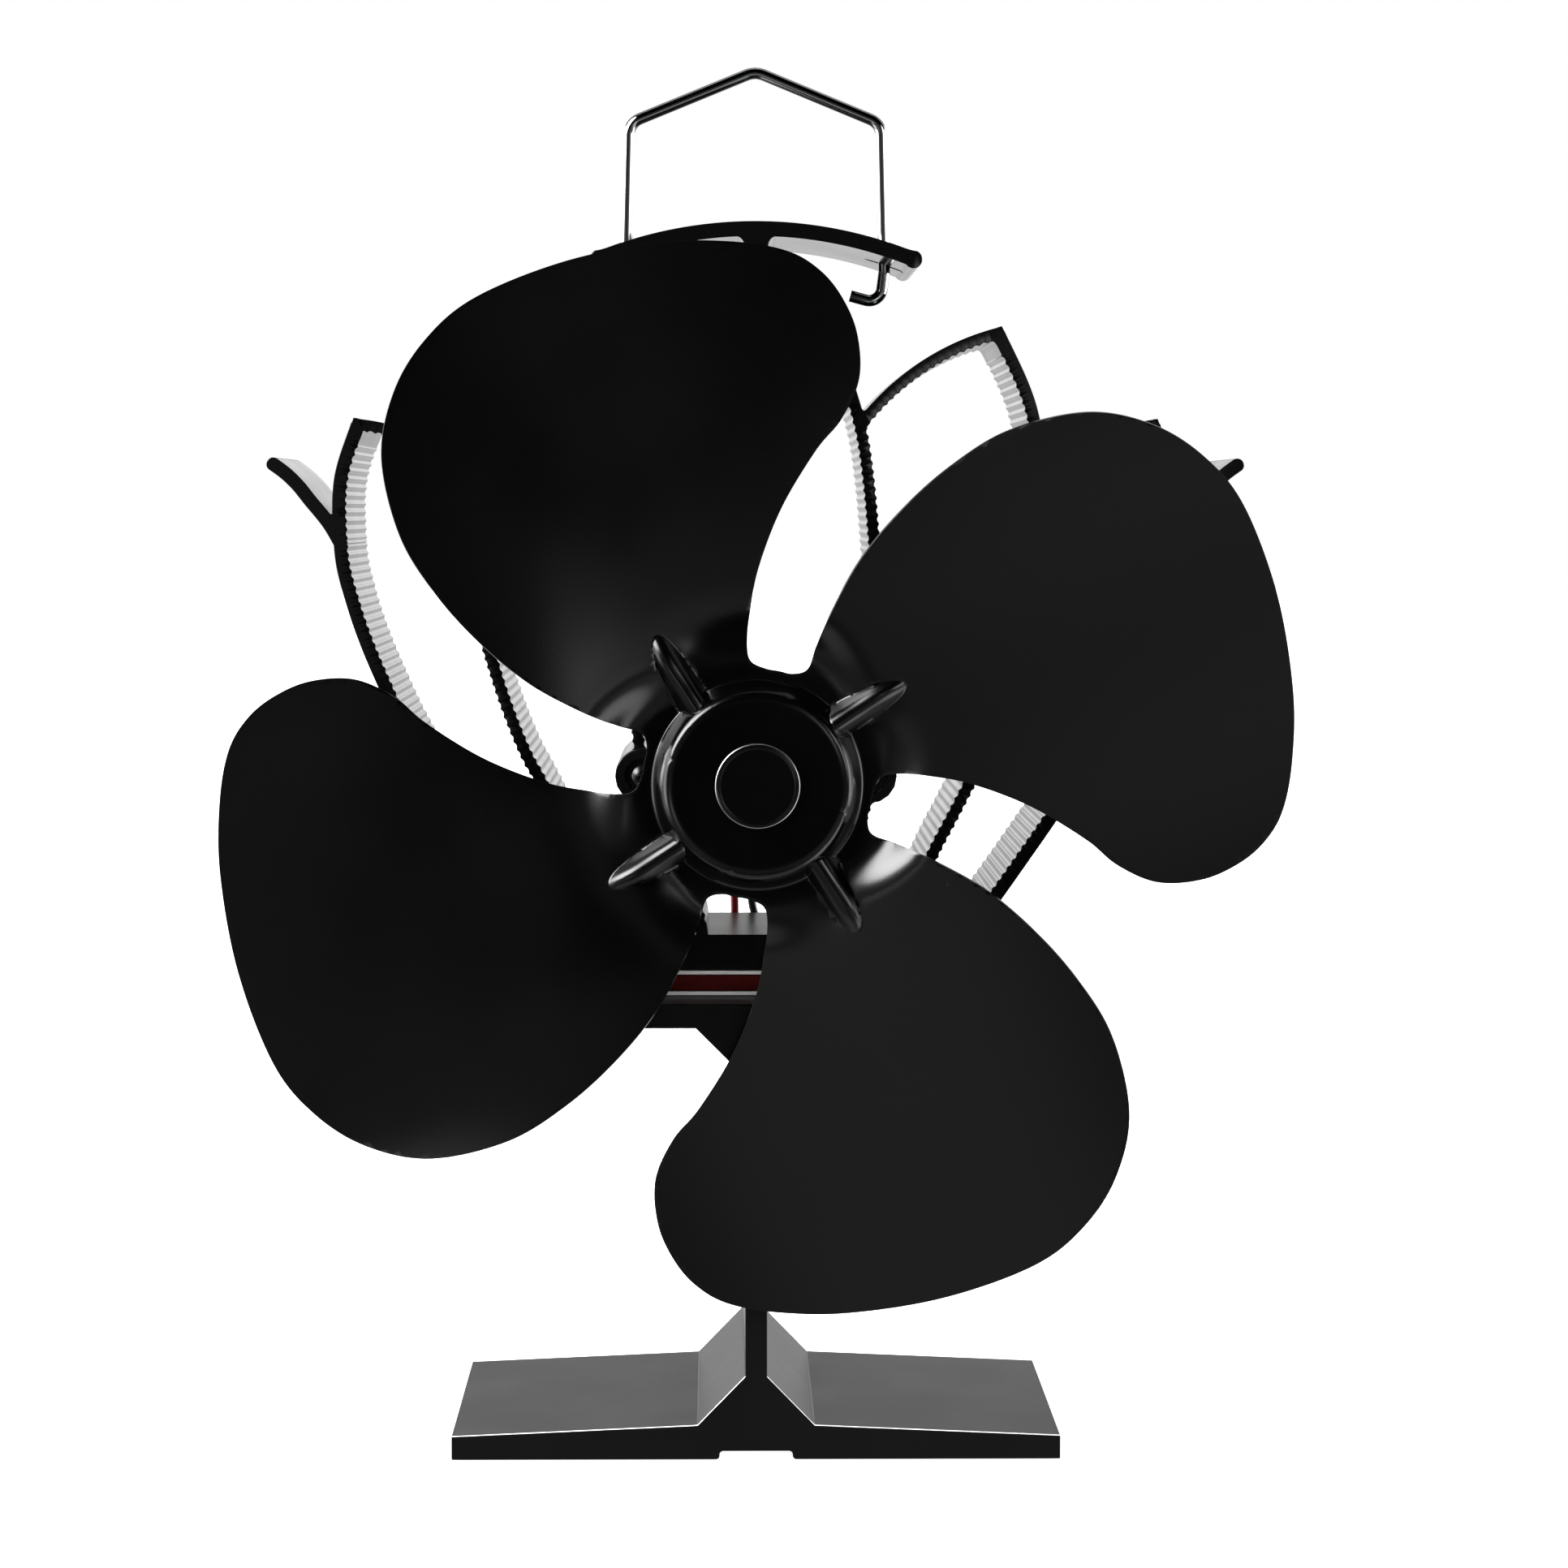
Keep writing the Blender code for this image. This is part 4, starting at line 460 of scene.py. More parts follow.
def bright_metal(name, dark, light, roughness, grain_scale, stretch, depth):
    """Plated, rolled or turned metal left unpainted, with its grain stretched along the way it was worked."""
    skin = Finish(name, Metallic=1.0)
    lines = skin.noise(grain_scale, 4, 0.6, place=skin.stretched(stretch))
    cloud = skin.noise(130, 3)
    skin.set(Base_Color=skin.blend(lines.rising(0.25, 0.75) * 0.6 + cloud * 0.4, dark, light),
             Roughness=roughness + lines * 0.12 + cloud * 0.05, Normal=skin.bump(lines, depth))
    return skin.material


def chromed_wire():
    """Mirror chrome on drawn wire, with faint draw lines, a slight haze and painted shade towards its
    outline.
    """
    skin = Finish("chromed_wire", Metallic=1.0)
    haze = skin.noise(160, 4, 0.6)
    lines = skin.noise(1500, 2, place=skin.stretched((1, 1, 0.06)))
    # Painted shade: the chrome's colour grows darker where the wire turns away from the view, along its
    # outline.
    rim = skin.node("ShaderNodeLayerWeight", None, Blend=0.5, output="Facing").rising(0.35, 0.7)
    plate = skin.blend(haze, (0.66, 0.67, 0.69), (0.80, 0.81, 0.83))
    skin.set(Base_Color=skin.blend(rim * 0.6, plate, grey(0.2)),
             Roughness=0.05 + haze.rising(0.4, 0.8) * 0.05 + lines * 0.02,
             Normal=skin.bump(lines, 0.2 * MICRON))
    return skin.material


def ceramic():
    """Matt alumina, with a fine sandy grain."""
    skin = Finish("pale_ceramic", Specular_IOR_Level=0.45)
    grain = skin.noise(4200, 4, 0.7)
    cloud = skin.noise(160, 3)
    skin.set(Base_Color=skin.blend(cloud * 0.6 + grain * 0.4, (0.55, 0.545, 0.53), (0.80, 0.795, 0.775)),
             Roughness=0.42 + grain * 0.2, Normal=skin.bump(grain, 10 * MICRON))
    return skin.material


def sealant():
    """Dark red silicone, smeared on by hand along the module's rim."""
    skin = Finish("red_sealant", Specular_IOR_Level=0.12)
    smear = skin.noise(420, 4, 0.6, place=skin.stretched((0.35, 0.35, 1)))
    pits = skin.spots(900).rising(0.22, 0.08)
    skin.set(Base_Color=skin.blend(smear.rising(0.25, 0.75), (0.026, 0.0006, 0.0006), (0.06, 0.0016, 0.0014)),
             Roughness=0.44 + smear * 0.2,
             Normal=skin.bump(pits, 30 * MICRON, under=skin.bump(smear, 120 * MICRON)))
    return skin.material


def sleeve(name, dark, light):
    """Silicone sleeve with a soft gloss and a slight bloom."""
    skin = Finish(name, Specular_IOR_Level=0.5)
    bloom = skin.noise(500, 3)
    grain = skin.noise(3600, 3)
    skin.set(Base_Color=skin.blend(bloom.rising(0.3, 0.7), dark, light), Roughness=0.3 + grain * 0.14,
             Normal=skin.bump(grain, 8 * MICRON))
    return skin.material


def grain_solid(name, dark, light, scale, roughness, depth, metallic=0.0):
    """A pressed or moulded solid whose grain shows, such as sintered metal, ferrite, carbon or nylon."""
    skin = Finish(name, Metallic=metallic)
    pores = skin.spots(scale)
    cloud = skin.noise(scale / 12, 3)
    skin.set(Base_Color=skin.blend(pores * 0.6 + cloud * 0.4, dark, light),
             Roughness=roughness + pores * 0.15, Normal=skin.bump(pores, depth))
    return skin.material


def laminations():
    """Thin stacked steel plates, whose joints run round the core."""
    skin = Finish("stacked_laminations", Metallic=0.9)
    _, depth, _ = skin.parts()
    joint = abs((depth * (2 * math.pi / LAMINATION)).sine()) ** 0.35
    grain = skin.noise(2500, 3)
    skin.set(Base_Color=skin.blend(joint, (0.05, 0.05, 0.055), (0.34, 0.35, 0.37)),
             Roughness=0.35 + grain * 0.2, Normal=skin.bump(joint, 30 * MICRON))
    return skin.material


def enamelled_wire():
    """Turns of enamelled copper, side by side."""
    skin = Finish("enamelled_copper", Metallic=0.85, Coat_Weight=0.4, Coat_Roughness=0.15)
    turn = abs((skin.from_axis() * (math.pi / WOUND_WIRE)).sine())
    cloud = skin.noise(300, 3)
    skin.set(Base_Color=skin.blend(turn * 0.7 + cloud * 0.3, (0.16, 0.045, 0.018), (0.58, 0.22, 0.09)),
             Roughness=0.22 + (1 - turn) * 0.3, Normal=skin.bump(turn, 80 * MICRON))
    return skin.material


def thermocouples():
    """Rows of small grey blocks with dark gaps, as seen from above or below."""
    skin = Finish("thermocouple_rows", Metallic=0.5)
    x, y, _ = skin.parts()
    across, along = (abs((place * (math.pi / THERMOCOUPLE_PITCH)).sine()) for place in (x, y))
    gap = (across * along).rising(0.2, 0.4)
    grain = skin.noise(2200, 3)
    skin.set(Base_Color=skin.blend(gap * (0.7 + grain * 0.3), (0.02, 0.02, 0.022), (0.34, 0.35, 0.38)),
             Roughness=0.4 + grain * 0.2, Normal=skin.bump(gap, 200 * MICRON))
    return skin.material


SINK_PAINT = painted_extrusion("black_paint_on_sink", 0.0012, 0.12)
BASE_PAINT = painted_extrusion("black_paint_on_base", 0.0016, 0.2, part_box("base")[0].y)
SHEET_PAINT = painted_sheet()
BRACKET_STEEL = black_steel("black_bracket_plating", 0.24)
HUB_STEEL = hub_plating()
CHROME = chromed_wire()
ZINC = bright_metal("zinc_plating", (0.36, 0.37, 0.38), (0.62, 0.63, 0.64), 0.22, 1300, (1, 0.08, 1),
                    3 * MICRON)
TURNED_STEEL = bright_metal("turned_steel", (0.42, 0.42, 0.43), (0.70, 0.70, 0.71), 0.16, 2600, (0.1, 1, 0.1),
                            5 * MICRON)
BIMETAL = bright_metal("rolled_bimetal", (0.30, 0.29, 0.27), (0.52, 0.51, 0.48), 0.26, 1500, (1, 0.03, 1),
                       5 * MICRON)
BRASS_TAB = bright_metal("stamped_brass", (0.46, 0.33, 0.12), (0.74, 0.58, 0.26), 0.22, 1400, (1, 0.1, 1),
                         5 * MICRON)
COPPER_RING = bright_metal("turned_copper", (0.42, 0.16, 0.07), (0.72, 0.34, 0.18), 0.2, 2600, (0.1, 1, 0.1),
                           5 * MICRON)
CERAMIC = ceramic()
SEALANT = sealant()
RED_SLEEVE = sleeve("red_sleeve", (0.34, 0.008, 0.008), (0.50, 0.016, 0.014))
BLACK_SLEEVE = sleeve("black_sleeve", (0.012, 0.012, 0.013), (0.024, 0.024, 0.026))
BRONZE = grain_solid("sintered_bronze", (0.16, 0.09, 0.04), (0.46, 0.30, 0.15), 2600, 0.35, 20 * MICRON,
                      0.9)
FERRITE = grain_solid("ferrite", (0.02, 0.02, 0.022), (0.06, 0.06, 0.065), 2400, 0.55, 20 * MICRON)
CARBON = grain_solid("carbon", (0.02, 0.02, 0.02), (0.07, 0.07, 0.07), 2600, 0.5, 20 * MICRON, 0.2)
NYLON = grain_solid("white_nylon", (0.66, 0.65, 0.60), (0.80, 0.79, 0.74), 900, 0.38, 10 * MICRON)
LAMINATED = laminations()
WOUND_COPPER = enamelled_wire()
TELLURIDE = thermocouples()


# Meshes

def new_piece(name, mesh, material, body, slot, *nodes):
    """Link a finished mesh as a piece that rides on a body and stands for its nodes."""
    piece = bpy.data.objects.new(name, mesh)
    bpy.context.scene.collection.objects.link(piece)
    mesh.materials.clear()
    mesh.materials.append(material)
    mesh.polygons.foreach_set("material_index", [0] * len(mesh.polygons))
    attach(piece, body)
    if nodes:
        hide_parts(*nodes)
    return piece


def mesh_of(shape, name):
    """The shape as a mesh. The shape itself is freed."""
    mesh = bpy.data.meshes.new(name)
    shape.to_mesh(mesh)
    shape.free()
    return mesh


def finished_mesh(source, name):
    """The object's mesh with all its modifiers applied. The object itself is removed."""
    bpy.context.view_layer.update()
    ready = source.evaluated_get(bpy.context.evaluated_depsgraph_get())
    mesh = bpy.data.meshes.new_from_object(ready)
    mesh.name = name
    bpy.data.objects.remove(source, do_unlink=True)
    return mesh


def shade(mesh, degrees):
    """Shade the mesh smooth, but for its edges that are sharper than the angle."""
    mesh.shade_smooth()
    mesh.set_sharp_from_angle(angle=math.radians(degrees))
    return mesh


def evened(mesh):
    """The mesh with its corner normals weighted by the faces' areas, so that flat faces shade flat."""
    source = loose_object(mesh.name + "_source", mesh)
    weighting = source.modifiers.new("weights", "WEIGHTED_NORMAL")
    weighting.keep_sharp = True
    weighting.weight = 60
    return finished_mesh(source, mesh.name)


def loose_object(name, mesh):
    made = bpy.data.objects.new(name, mesh)
    bpy.context.scene.collection.objects.link(made)
    return made


def round_edges(source, width, degrees):
    """Round the object's edges that are sharper than the angle."""
    bevel = source.modifiers.new("edges", "BEVEL")
    bevel.width = width
    bevel.segments = 3
    bevel.limit_method = "ANGLE"
    bevel.angle_limit = math.radians(degrees)


def refined(node, edge):
    """A node's own shape with its flat faces joined and its edges rounded."""
    shape = bmesh.new()
    shape.from_mesh(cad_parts[node].data)
    bmesh.ops.remove_doubles(shape, verts=shape.verts, dist=MERGE_DISTANCE)
    bmesh.ops.dissolve_limit(shape, angle_limit=math.radians(FLAT_DEGREES), verts=shape.verts,
                             edges=shape.edges)
    source = loose_object(node + "_source", mesh_of(shape, node + "_shape"))
    round_edges(source, edge, 35)
    return evened(shade(finished_mesh(source, node + "_mesh"), 40))


def turned_mesh(name, profile, centre, steps):
    """Turn (radius, y) points about the line along Y through centre. They run along the outer side first."""
    shape = bmesh.new()
    closed = profile[0][0] > 0
    rings = []
    for radius, y in profile:
        if radius == 0:
            rings.append([shape.verts.new((centre[0], centre[1] + y, centre[2]))] * steps)
            continue
        turns = [2 * math.pi * i / steps for i in range(steps)]
        rings.append([shape.verts.new((centre[0] + radius * math.cos(a), centre[1] + y,
                                       centre[2] + radius * math.sin(a))) for a in turns])
    pairs = list(zip(rings, rings[1:])) + ([(rings[-1], rings[0])] if closed else [])
    for near, far in pairs:
        for i in range(steps):
            k = (i + 1) % steps
            corners = list(dict.fromkeys((near[i], near[k], far[k], far[i])))
            shape.faces.new(corners)
    bmesh.ops.recalc_face_normals(shape, faces=shape.faces)
    return mesh_of(shape, name)


def eased(profile, radius, steps=3, closed=False):
    """A (radius, y) profile with each corner off the axis rounded."""
    result = []
    count = len(profile)
    for i, corner in enumerate(profile):
        here = Vector(corner)
        if not closed and i in (0, count - 1):
            result.append(tuple(here))
            continue
        before, after = Vector(profile[i - 1]), Vector(profile[(i + 1) % count])
        reach = min(radius, (before - here).length / 2.2, (after - here).length / 2.2)
        start = here + (before - here).normalized() * reach
        end = here + (after - here).normalized() * reach
        for k in range(steps + 1):
            t = k / steps
            result.append(tuple(start * (1 - t) ** 2 + here * 2 * t * (1 - t) + end * t ** 2))
    return result


def smooth_through(points, step):
    """Points about a step apart on a smooth curve through the given ones."""
    places = [Vector(point) for point in points]
    ahead = [places[0] * 2 - places[1]] + places + [places[-1] * 2 - places[-2]]
    result = [places[0]]
    for i in range(1, len(places)):
        before, start, end, after = ahead[i - 1:i + 3]
        count = max(1, round((end - start).length / step))
        for k in range(1, count + 1):
            result.append(between(before, start, end, after, k / count))
    return result


def between(before, start, end, after, t):
    """A point on the smooth curve from start to end."""
    return (start * 2 + (end - before) * t + (before * 2 - start * 5 + end * 4 - after) * t ** 2
            + (start * 3 - before - end * 3 + after) * t ** 3) / 2


def even_path(points, step):
    """The same path with its points evenly spaced, and how far along each one is, from 0 to 1."""
    lengths = [0]
    for a, b in zip(points, points[1:]):
        lengths.append(lengths[-1] + (b - a).length)
    count = max(2, round(lengths[-1] / step))
    result = []
    reach = 0
    for i in range(count + 1):
        target = lengths[-1] * i / count
        while reach < len(points) - 2 and lengths[reach + 1] < target:
            reach += 1
        span = lengths[reach + 1] - lengths[reach]
        result.append(points[reach].lerp(points[reach + 1], min(1, (target - lengths[reach]) / span)))
    return result, [i / count for i in range(count + 1)]


# Heat sink

BLOCK_TOP = SINK_BOTTOM + BLOCK_HEIGHT
ARCH_TOP = SINK_BOTTOM + SINK_HEIGHT
ARCH_MIDDLE = ARCH_TOP - ARCH_THICKNESS / 2
ARCH_CENTRE = ARCH_MIDDLE - ARCH_RADIUS


def level_height(level):
    """Height of a level: 0 is the block's top, 1 the motor's axis and 2 the arch's middle."""
    if level <= 1:
        return BLOCK_TOP + (AXIS_HEIGHT - BLOCK_TOP) * level
    return AXIS_HEIGHT + (ARCH_MIDDLE - AXIS_HEIGHT) * (level - 1)


def fin_line(shares, half_width):
    return smooth_through([(share * half_width, level_height(level)) for share, level in shares], CURVE_STEP)


def point_at_height(line, height):
    return min(line, key=lambda place: abs(place.y - height))


def share_at_height(line, height):
    """How far along the line its point at the height is, from 0 to 1."""
    lengths = [(b - a).length for a, b in zip(line, line[1:])]
    index = line.index(point_at_height(line, height))
    return sum(lengths[:index]) / sum(lengths)


def bowed_line(start, end, bow_share):
    """A round arc from start to end that bows to the left by a share of its chord."""
    chord = end - start
    rise = bow_share * chord.length
    radius = (chord.length ** 2 / 4 + rise ** 2) / (2 * rise)
    left = Vector((-chord.y, chord.x)).normalized()
    centre = (start + end) / 2 + left * (rise - radius)
    count = math.ceil(chord.length / CURVE_STEP)
    first, last = start - centre, end - centre
    return [centre + first.slerp(last, i / count) * radius for i in range(count + 1)]


def band(centre_line, thickness, left_ribs=(), right_ribs=()):
    """Outline of a fin, its sides grooved between the given shares of its length, with narrow crests."""
    path, shares = even_path(centre_line, RIB_PITCH / RIB_POINTS)
    sides = []
    for sign, ribs in ((1, left_ribs), (-1, right_ribs)):
        edge = []
        for i, (place, share) in enumerate(zip(path, shares)):
            along = path[min(i + 1, len(path) - 1)] - path[max(i - 1, 0)]
            normal = Vector((-along.y, along.x)).normalized()
            ribbed = any(low < share < high for low, high in ribs)
            groove = 0
            if ribbed:
                groove = abs(math.sin(math.pi * i / RIB_POINTS)) ** RIB_BLUNTNESS * RIB_HEIGHT - RIB_CREST
            if ribbed or i % PLAIN_POINTS == 0 or i == len(path) - 1:
                edge.append(place + normal * sign * (thickness / 2 - groove))
        sides.append(edge)
    return sides[0] + sides[1][::-1]


def circle(x, y, radius, steps):
    turns = [2 * math.pi * i / steps for i in range(steps)]
    return [Vector((x + radius * math.cos(a), y + radius * math.sin(a))) for a in turns]


def corner_patch(tip, arriving, leaving, half):
    """The outer wedge where two fins of one petal meet in a point."""
    arriving, leaving = arriving.normalized(), leaving.normalized()
    outer_a = Vector((arriving.y, -arriving.x)) * half
    outer_b = Vector((leaving.y, -leaving.x)) * half
    mitre = (outer_a + outer_b).normalized()
    mitre = mitre * (half / mitre.dot(outer_a.normalized()))
    return [tip, tip + outer_a, tip + mitre, tip + outer_b]


def anticlockwise(outline):
    points = [Vector((p[0], p[1])) for p in outline]
    area = sum(a.cross(b) for a, b in zip(points, points[1:] + points[:1]))
    return points if area > 0 else points[::-1]


def triangulated(loops, inner_points=()):
    """Points and triangles of the flat shapes together, and for each triangle the loops that it lies in."""
    points, faces = [], []
    for loop in loops:
        faces.append(list(range(len(points), len(points) + len(loop))))
        points.extend(anticlockwise(loop))
    points.extend(inner_points)
    flat, _, triangles, _, _, sources = delaunay_2d_cdt(points, [], faces, 1, MERGE_DISTANCE)
    return flat, triangles, sources


def united_loops(shapes):
    """The closed outlines of overlapping flat shapes, once joined, with the solid on their left."""
    flat, triangles, sources = triangulated(shapes)
    sides = set()
    for triangle, source in zip(triangles, sources):
        if source:
            sides.update(zip(triangle, triangle[1:] + triangle[:1]))
    following = {a: b for a, b in sides if (b, a) not in sides}
    loops = []
    while following:
        start, here = following.popitem()
        loop = [start]
        while here != start:
            loop.append(here)
            here = following.pop(here)
        loops.append([flat[i] for i in loop])
    return loops


def softened(loop, fillet, rounding):
    """Ease a loop's sharp corners: inner ones by the fillet and outer ones by the rounding."""
    count = len(loop)
    corners = {}
    for i, here in enumerate(loop):
        arriving = (here - loop[i - 1]).normalized()
        leaving = (loop[(i + 1) % count] - here).normalized()
        turn = math.atan2(arriving.cross(leaving), arriving.dot(leaving))
        if turn < -math.radians(INNER_CORNER_DEGREES):
            corners[i] = fillet
        elif turn > math.radians(OUTER_CORNER_DEGREES):
            corners[i] = rounding
    result = []
    skip = set()
    arcs = {}
    for i, reach in corners.items():
        ends = []
        for direction in (-1, 1):
            walked, k = 0, i
            while walked < reach:
                k = (k + direction) % count
                walked += (loop[k] - loop[(k - direction) % count]).length
                if k in corners:
                    break
            blocked = k in corners and k != i
            ends.append((k - direction) % count if blocked else k)
        first, last = ends
        if first == i or last == i:
            continue
        span = [(first + k) % count for k in range((last - first) % count + 1)]
        if len(span) > count / 3 or skip.intersection(span[1:-1]):
            continue
        skip.update(span[1:-1])
        start, end = loop[first], loop[last]
        arcs[first] = [start * (1 - t) ** 2 + loop[i] * 2 * t * (1 - t) + end * t ** 2
                       for t in (0.2, 0.4, 0.6, 0.8)]
    for i, here in enumerate(loop):
        if i not in skip:
            result.append(here)
        if i in arcs:
            result.extend(arcs[i])
    return result


def fin_shapes():
    """Outlines of every fin of the right half."""
    sink_half = SINK_WIDTH / 2
    inner = fin_line(INNER_FIN_SHARES, EAR_HALF)
    middle = fin_line(MIDDLE_FIN_SHARES, sink_half)
    outer = fin_line(OUTER_FIN_SHARES, sink_half)
    leaf = fin_line(LEAF_SHARES, sink_half)
    inner_height = level_height(INNER_ARC_LEVEL_SHARE)
    outer_height = level_height(OUTER_ARC_LEVEL_SHARE)
    inner_arc = bowed_line(point_at_height(inner, inner_height), middle[-1], INNER_ARC_BOW_SHARE)
    outer_arc = bowed_line(point_at_height(middle, outer_height), outer[-1], OUTER_ARC_BOW_SHARE)
    root = share_at_height(inner, BLOCK_TOP + INNER_FIN)
    ear_low = share_at_height(inner, AXIS_HEIGHT - EAR_RADIUS)
    ear_high = share_at_height(inner, AXIS_HEIGHT + EAR_RADIUS)
    inner_split = share_at_height(inner, inner_height)
    middle_split = share_at_height(middle, outer_height)
    middle_root = share_at_height(middle, BLOCK_TOP + MIDDLE_FIN)
    outer_root = share_at_height(outer, BLOCK_TOP + OUTER_FIN)
    tip = 1 - PLAIN_TIP_SHARE / 2
    arc_ribs = [(PLAIN_TIP_SHARE, 1 - PLAIN_TIP_SHARE)]
    shapes = [band(inner, INNER_FIN, [(root, ear_low), (ear_high, 1)],
                   [(root, ear_low), (ear_high, inner_split)]),
              band(middle, MIDDLE_FIN, [(middle_root, tip)], [(middle_root, middle_split)]),
              band(outer, OUTER_FIN, [(outer_root, tip)]),
              band(inner_arc, PETAL_ARC, right_ribs=arc_ribs),
              band(outer_arc, PETAL_ARC, right_ribs=arc_ribs),
              band(leaf, LEAF_FIN),
              circle(sink_half - LEAF_FIN / 2, leaf[-1].y, LEAF_FIN / 2, 24),
              circle(EAR_HALF, AXIS_HEIGHT, EAR_RADIUS, 64)]
    for petal, arc, wall in ((middle, inner_arc, MIDDLE_FIN), (outer, outer_arc, OUTER_FIN)):
        shapes.append(corner_patch(petal[-1], petal[-1] - petal[-2], arc[-2] - arc[-1],
                                   (wall + PETAL_ARC) / 4))
    return shapes


def stalk_shapes():
    """The stalk that carries the arch, with a fillet on both sides under it."""
    half = STALK_THICKNESS / 2
    foot = level_height(INNER_FIN_SHARES[-1][1]) - INNER_FIN
    under = ARCH_TOP - ARCH_THICKNESS
    shapes = [[(-half, foot), (half, foot), (half, ARCH_MIDDLE), (-half, ARCH_MIDDLE)]]
    for sign in (-1, 1):
        turns = [math.pi / 2 * i / 8 for i in range(9)]
        curve = [(half + STALK_FILLET * (1 - math.cos(a)), under - STALK_FILLET * (1 - math.sin(a)))
                 for a in turns]
        corner = [(0, under - STALK_FILLET), (0, ARCH_MIDDLE), (half + STALK_FILLET, ARCH_MIDDLE)]
        shapes.append([(sign * x, z) for x, z in curve + corner[::-1]])
    return shapes


def block_shape():
    """The block's outline, with rounded corners."""
    corners = [(-BLOCK_HALF, SINK_BOTTOM), (BLOCK_HALF, SINK_BOTTOM), (BLOCK_HALF, BLOCK_TOP),
               (-BLOCK_HALF, BLOCK_TOP)]
    outline = []
    for k, (x, z) in enumerate(corners):
        middle_x = x - math.copysign(BLOCK_RADIUS, x)
        middle_z = z + (BLOCK_RADIUS if k < 2 else -BLOCK_RADIUS)
        for i in range(7):
            a = math.radians(180 + 90 * k + 15 * i)
            outline.append((middle_x + BLOCK_RADIUS * math.cos(a), middle_z + BLOCK_RADIUS * math.sin(a)))
    return outline


def extruded(name, loops, front, rear, edge):
    """Loops of X and Z as a closed solid along Y, with rounded front and rear edges."""
    points = [point for loop in loops for point in loop]
    starts = [sum(len(loop) for loop in loops[:k]) for k in range(len(loops))]
    faces = [list(range(start, start + len(loop))) for start, loop in zip(starts, loops)]
    oriented = []
    for face in faces:
        area = sum(points[a].cross(points[b]) for a, b in zip(face, face[1:] + face[:1]))
        oriented.append(face if area > 0 else face[::-1])
    flat, _, triangles, origins, _, sources = delaunay_2d_cdt(points, [], oriented, 1, MERGE_DISTANCE / 10)
    caps = [[origins[v][0] for v in triangle] for triangle, source in zip(triangles, sources)
            if len(source) % 2 == 1 and all(origins[v] for v in triangle)]
    inward = []
    for loop in loops:
        for i, here in enumerate(loop):
            a = (here - loop[i - 1]).normalized()
            b = (loop[(i + 1) % len(loop)] - here).normalized()
            normal = Vector((-a.y, a.x)) + Vector((-b.y, b.x))
            inward.append(normal / max(0.5, 1 + a.dot(b)))
    steps = [math.pi / 2 * k / 3 for k in range(4)]
    rings = [(edge * (1 - math.sin(a)), front + edge * (1 - math.cos(a))) for a in steps]
    rings += [(inset, front + rear - y) for inset, y in reversed(rings)]
    shape = bmesh.new()
    made = []
    for inset, y in rings:
        made.append([shape.verts.new((p.x + n.x * inset, y, p.y + n.y * inset))
                     for p, n in zip(points, inward)])
    for near, far in zip(made, made[1:]):
        for start, loop in zip(starts, loops):
            for i in range(len(loop)):
                a, b = start + i, start + (i + 1) % len(loop)
                shape.faces.new((near[b], near[a], far[a], far[b]))
    for ring, order in ((made[0], 1), (made[-1], -1)):
        for cap in caps:
            corners = [ring[v] for v in cap][::order]
            if len(set(corners)) == 3:
                shape.faces.new(corners)
    shape.normal_update()
    return mesh_of(shape, name)


def slot_cutter(name, x):
    """A long slot with round ends, upright through the arch."""
    half = SLOT_LENGTH / 2 - SLOT_HALF_WIDTH
    outline = []
    for sign in (1, -1):
        for i in range(13):
            a = math.pi * (i / 12 - 0.5)
            outline.append((x + sign * (half + SLOT_HALF_WIDTH * math.cos(a)),
                            SINK_MIDDLE + sign * SLOT_HALF_WIDTH * math.sin(a)))
    shape = bmesh.new()
    lower = [shape.verts.new((px, py, ARCH_TOP - SLOT_CUT_DOWN)) for px, py in outline]
    upper = [shape.verts.new((px, py, ARCH_TOP + SLOT_CUT_UP)) for px, py in outline]
    shape.faces.new(lower[::-1])
    shape.faces.new(upper)
    for i in range(len(outline)):
        k = (i + 1) % len(outline)
        shape.faces.new((lower[i], lower[k], upper[k], upper[i]))
    bmesh.ops.recalc_face_normals(shape, faces=shape.faces)
    return loose_object(name, mesh_of(shape, name))


def make_heat_sink():
    """The finned extrusion: block, fins with ribbed faces, motor bosses, stalk and slotted arch."""
    right = fin_shapes()
    left = [[(-p[0], p[1]) for p in shape] for shape in right]
    reach = math.asin(ARCH_SPAN / 2 / ARCH_RADIUS)
    turns = [-reach + 2 * reach * i / ARCH_STEPS for i in range(ARCH_STEPS + 1)]
    arch = [Vector((ARCH_RADIUS * math.sin(a), ARCH_CENTRE + ARCH_RADIUS * math.cos(a))) for a in turns]
    beads = [circle(end.x, end.y, ARCH_BEAD_RADIUS, 32) for end in (arch[0], arch[-1])]
    shapes = right + left + [block_shape(), band(arch, ARCH_THICKNESS)] + beads + stalk_shapes()
    loops = [softened(loop, CORNER_FILLET, CORNER_ROUND) for loop in united_loops(shapes) if len(loop) > 8]
    solid = extruded("heat_sink_shape", loops, SINK_FRONT, SINK_REAR, EDGE_ROUND)
    mesh = drilled(solid, [slot_cutter("slot_left", -HANDLE_LEG_HALF),
                           slot_cutter("slot_right", HANDLE_LEG_HALF)])
    new_piece("sink", evened(shade(mesh, 38)), SINK_PAINT, "frame", "black_painted_aluminium", "heat_sink")


# Geometry Nodes

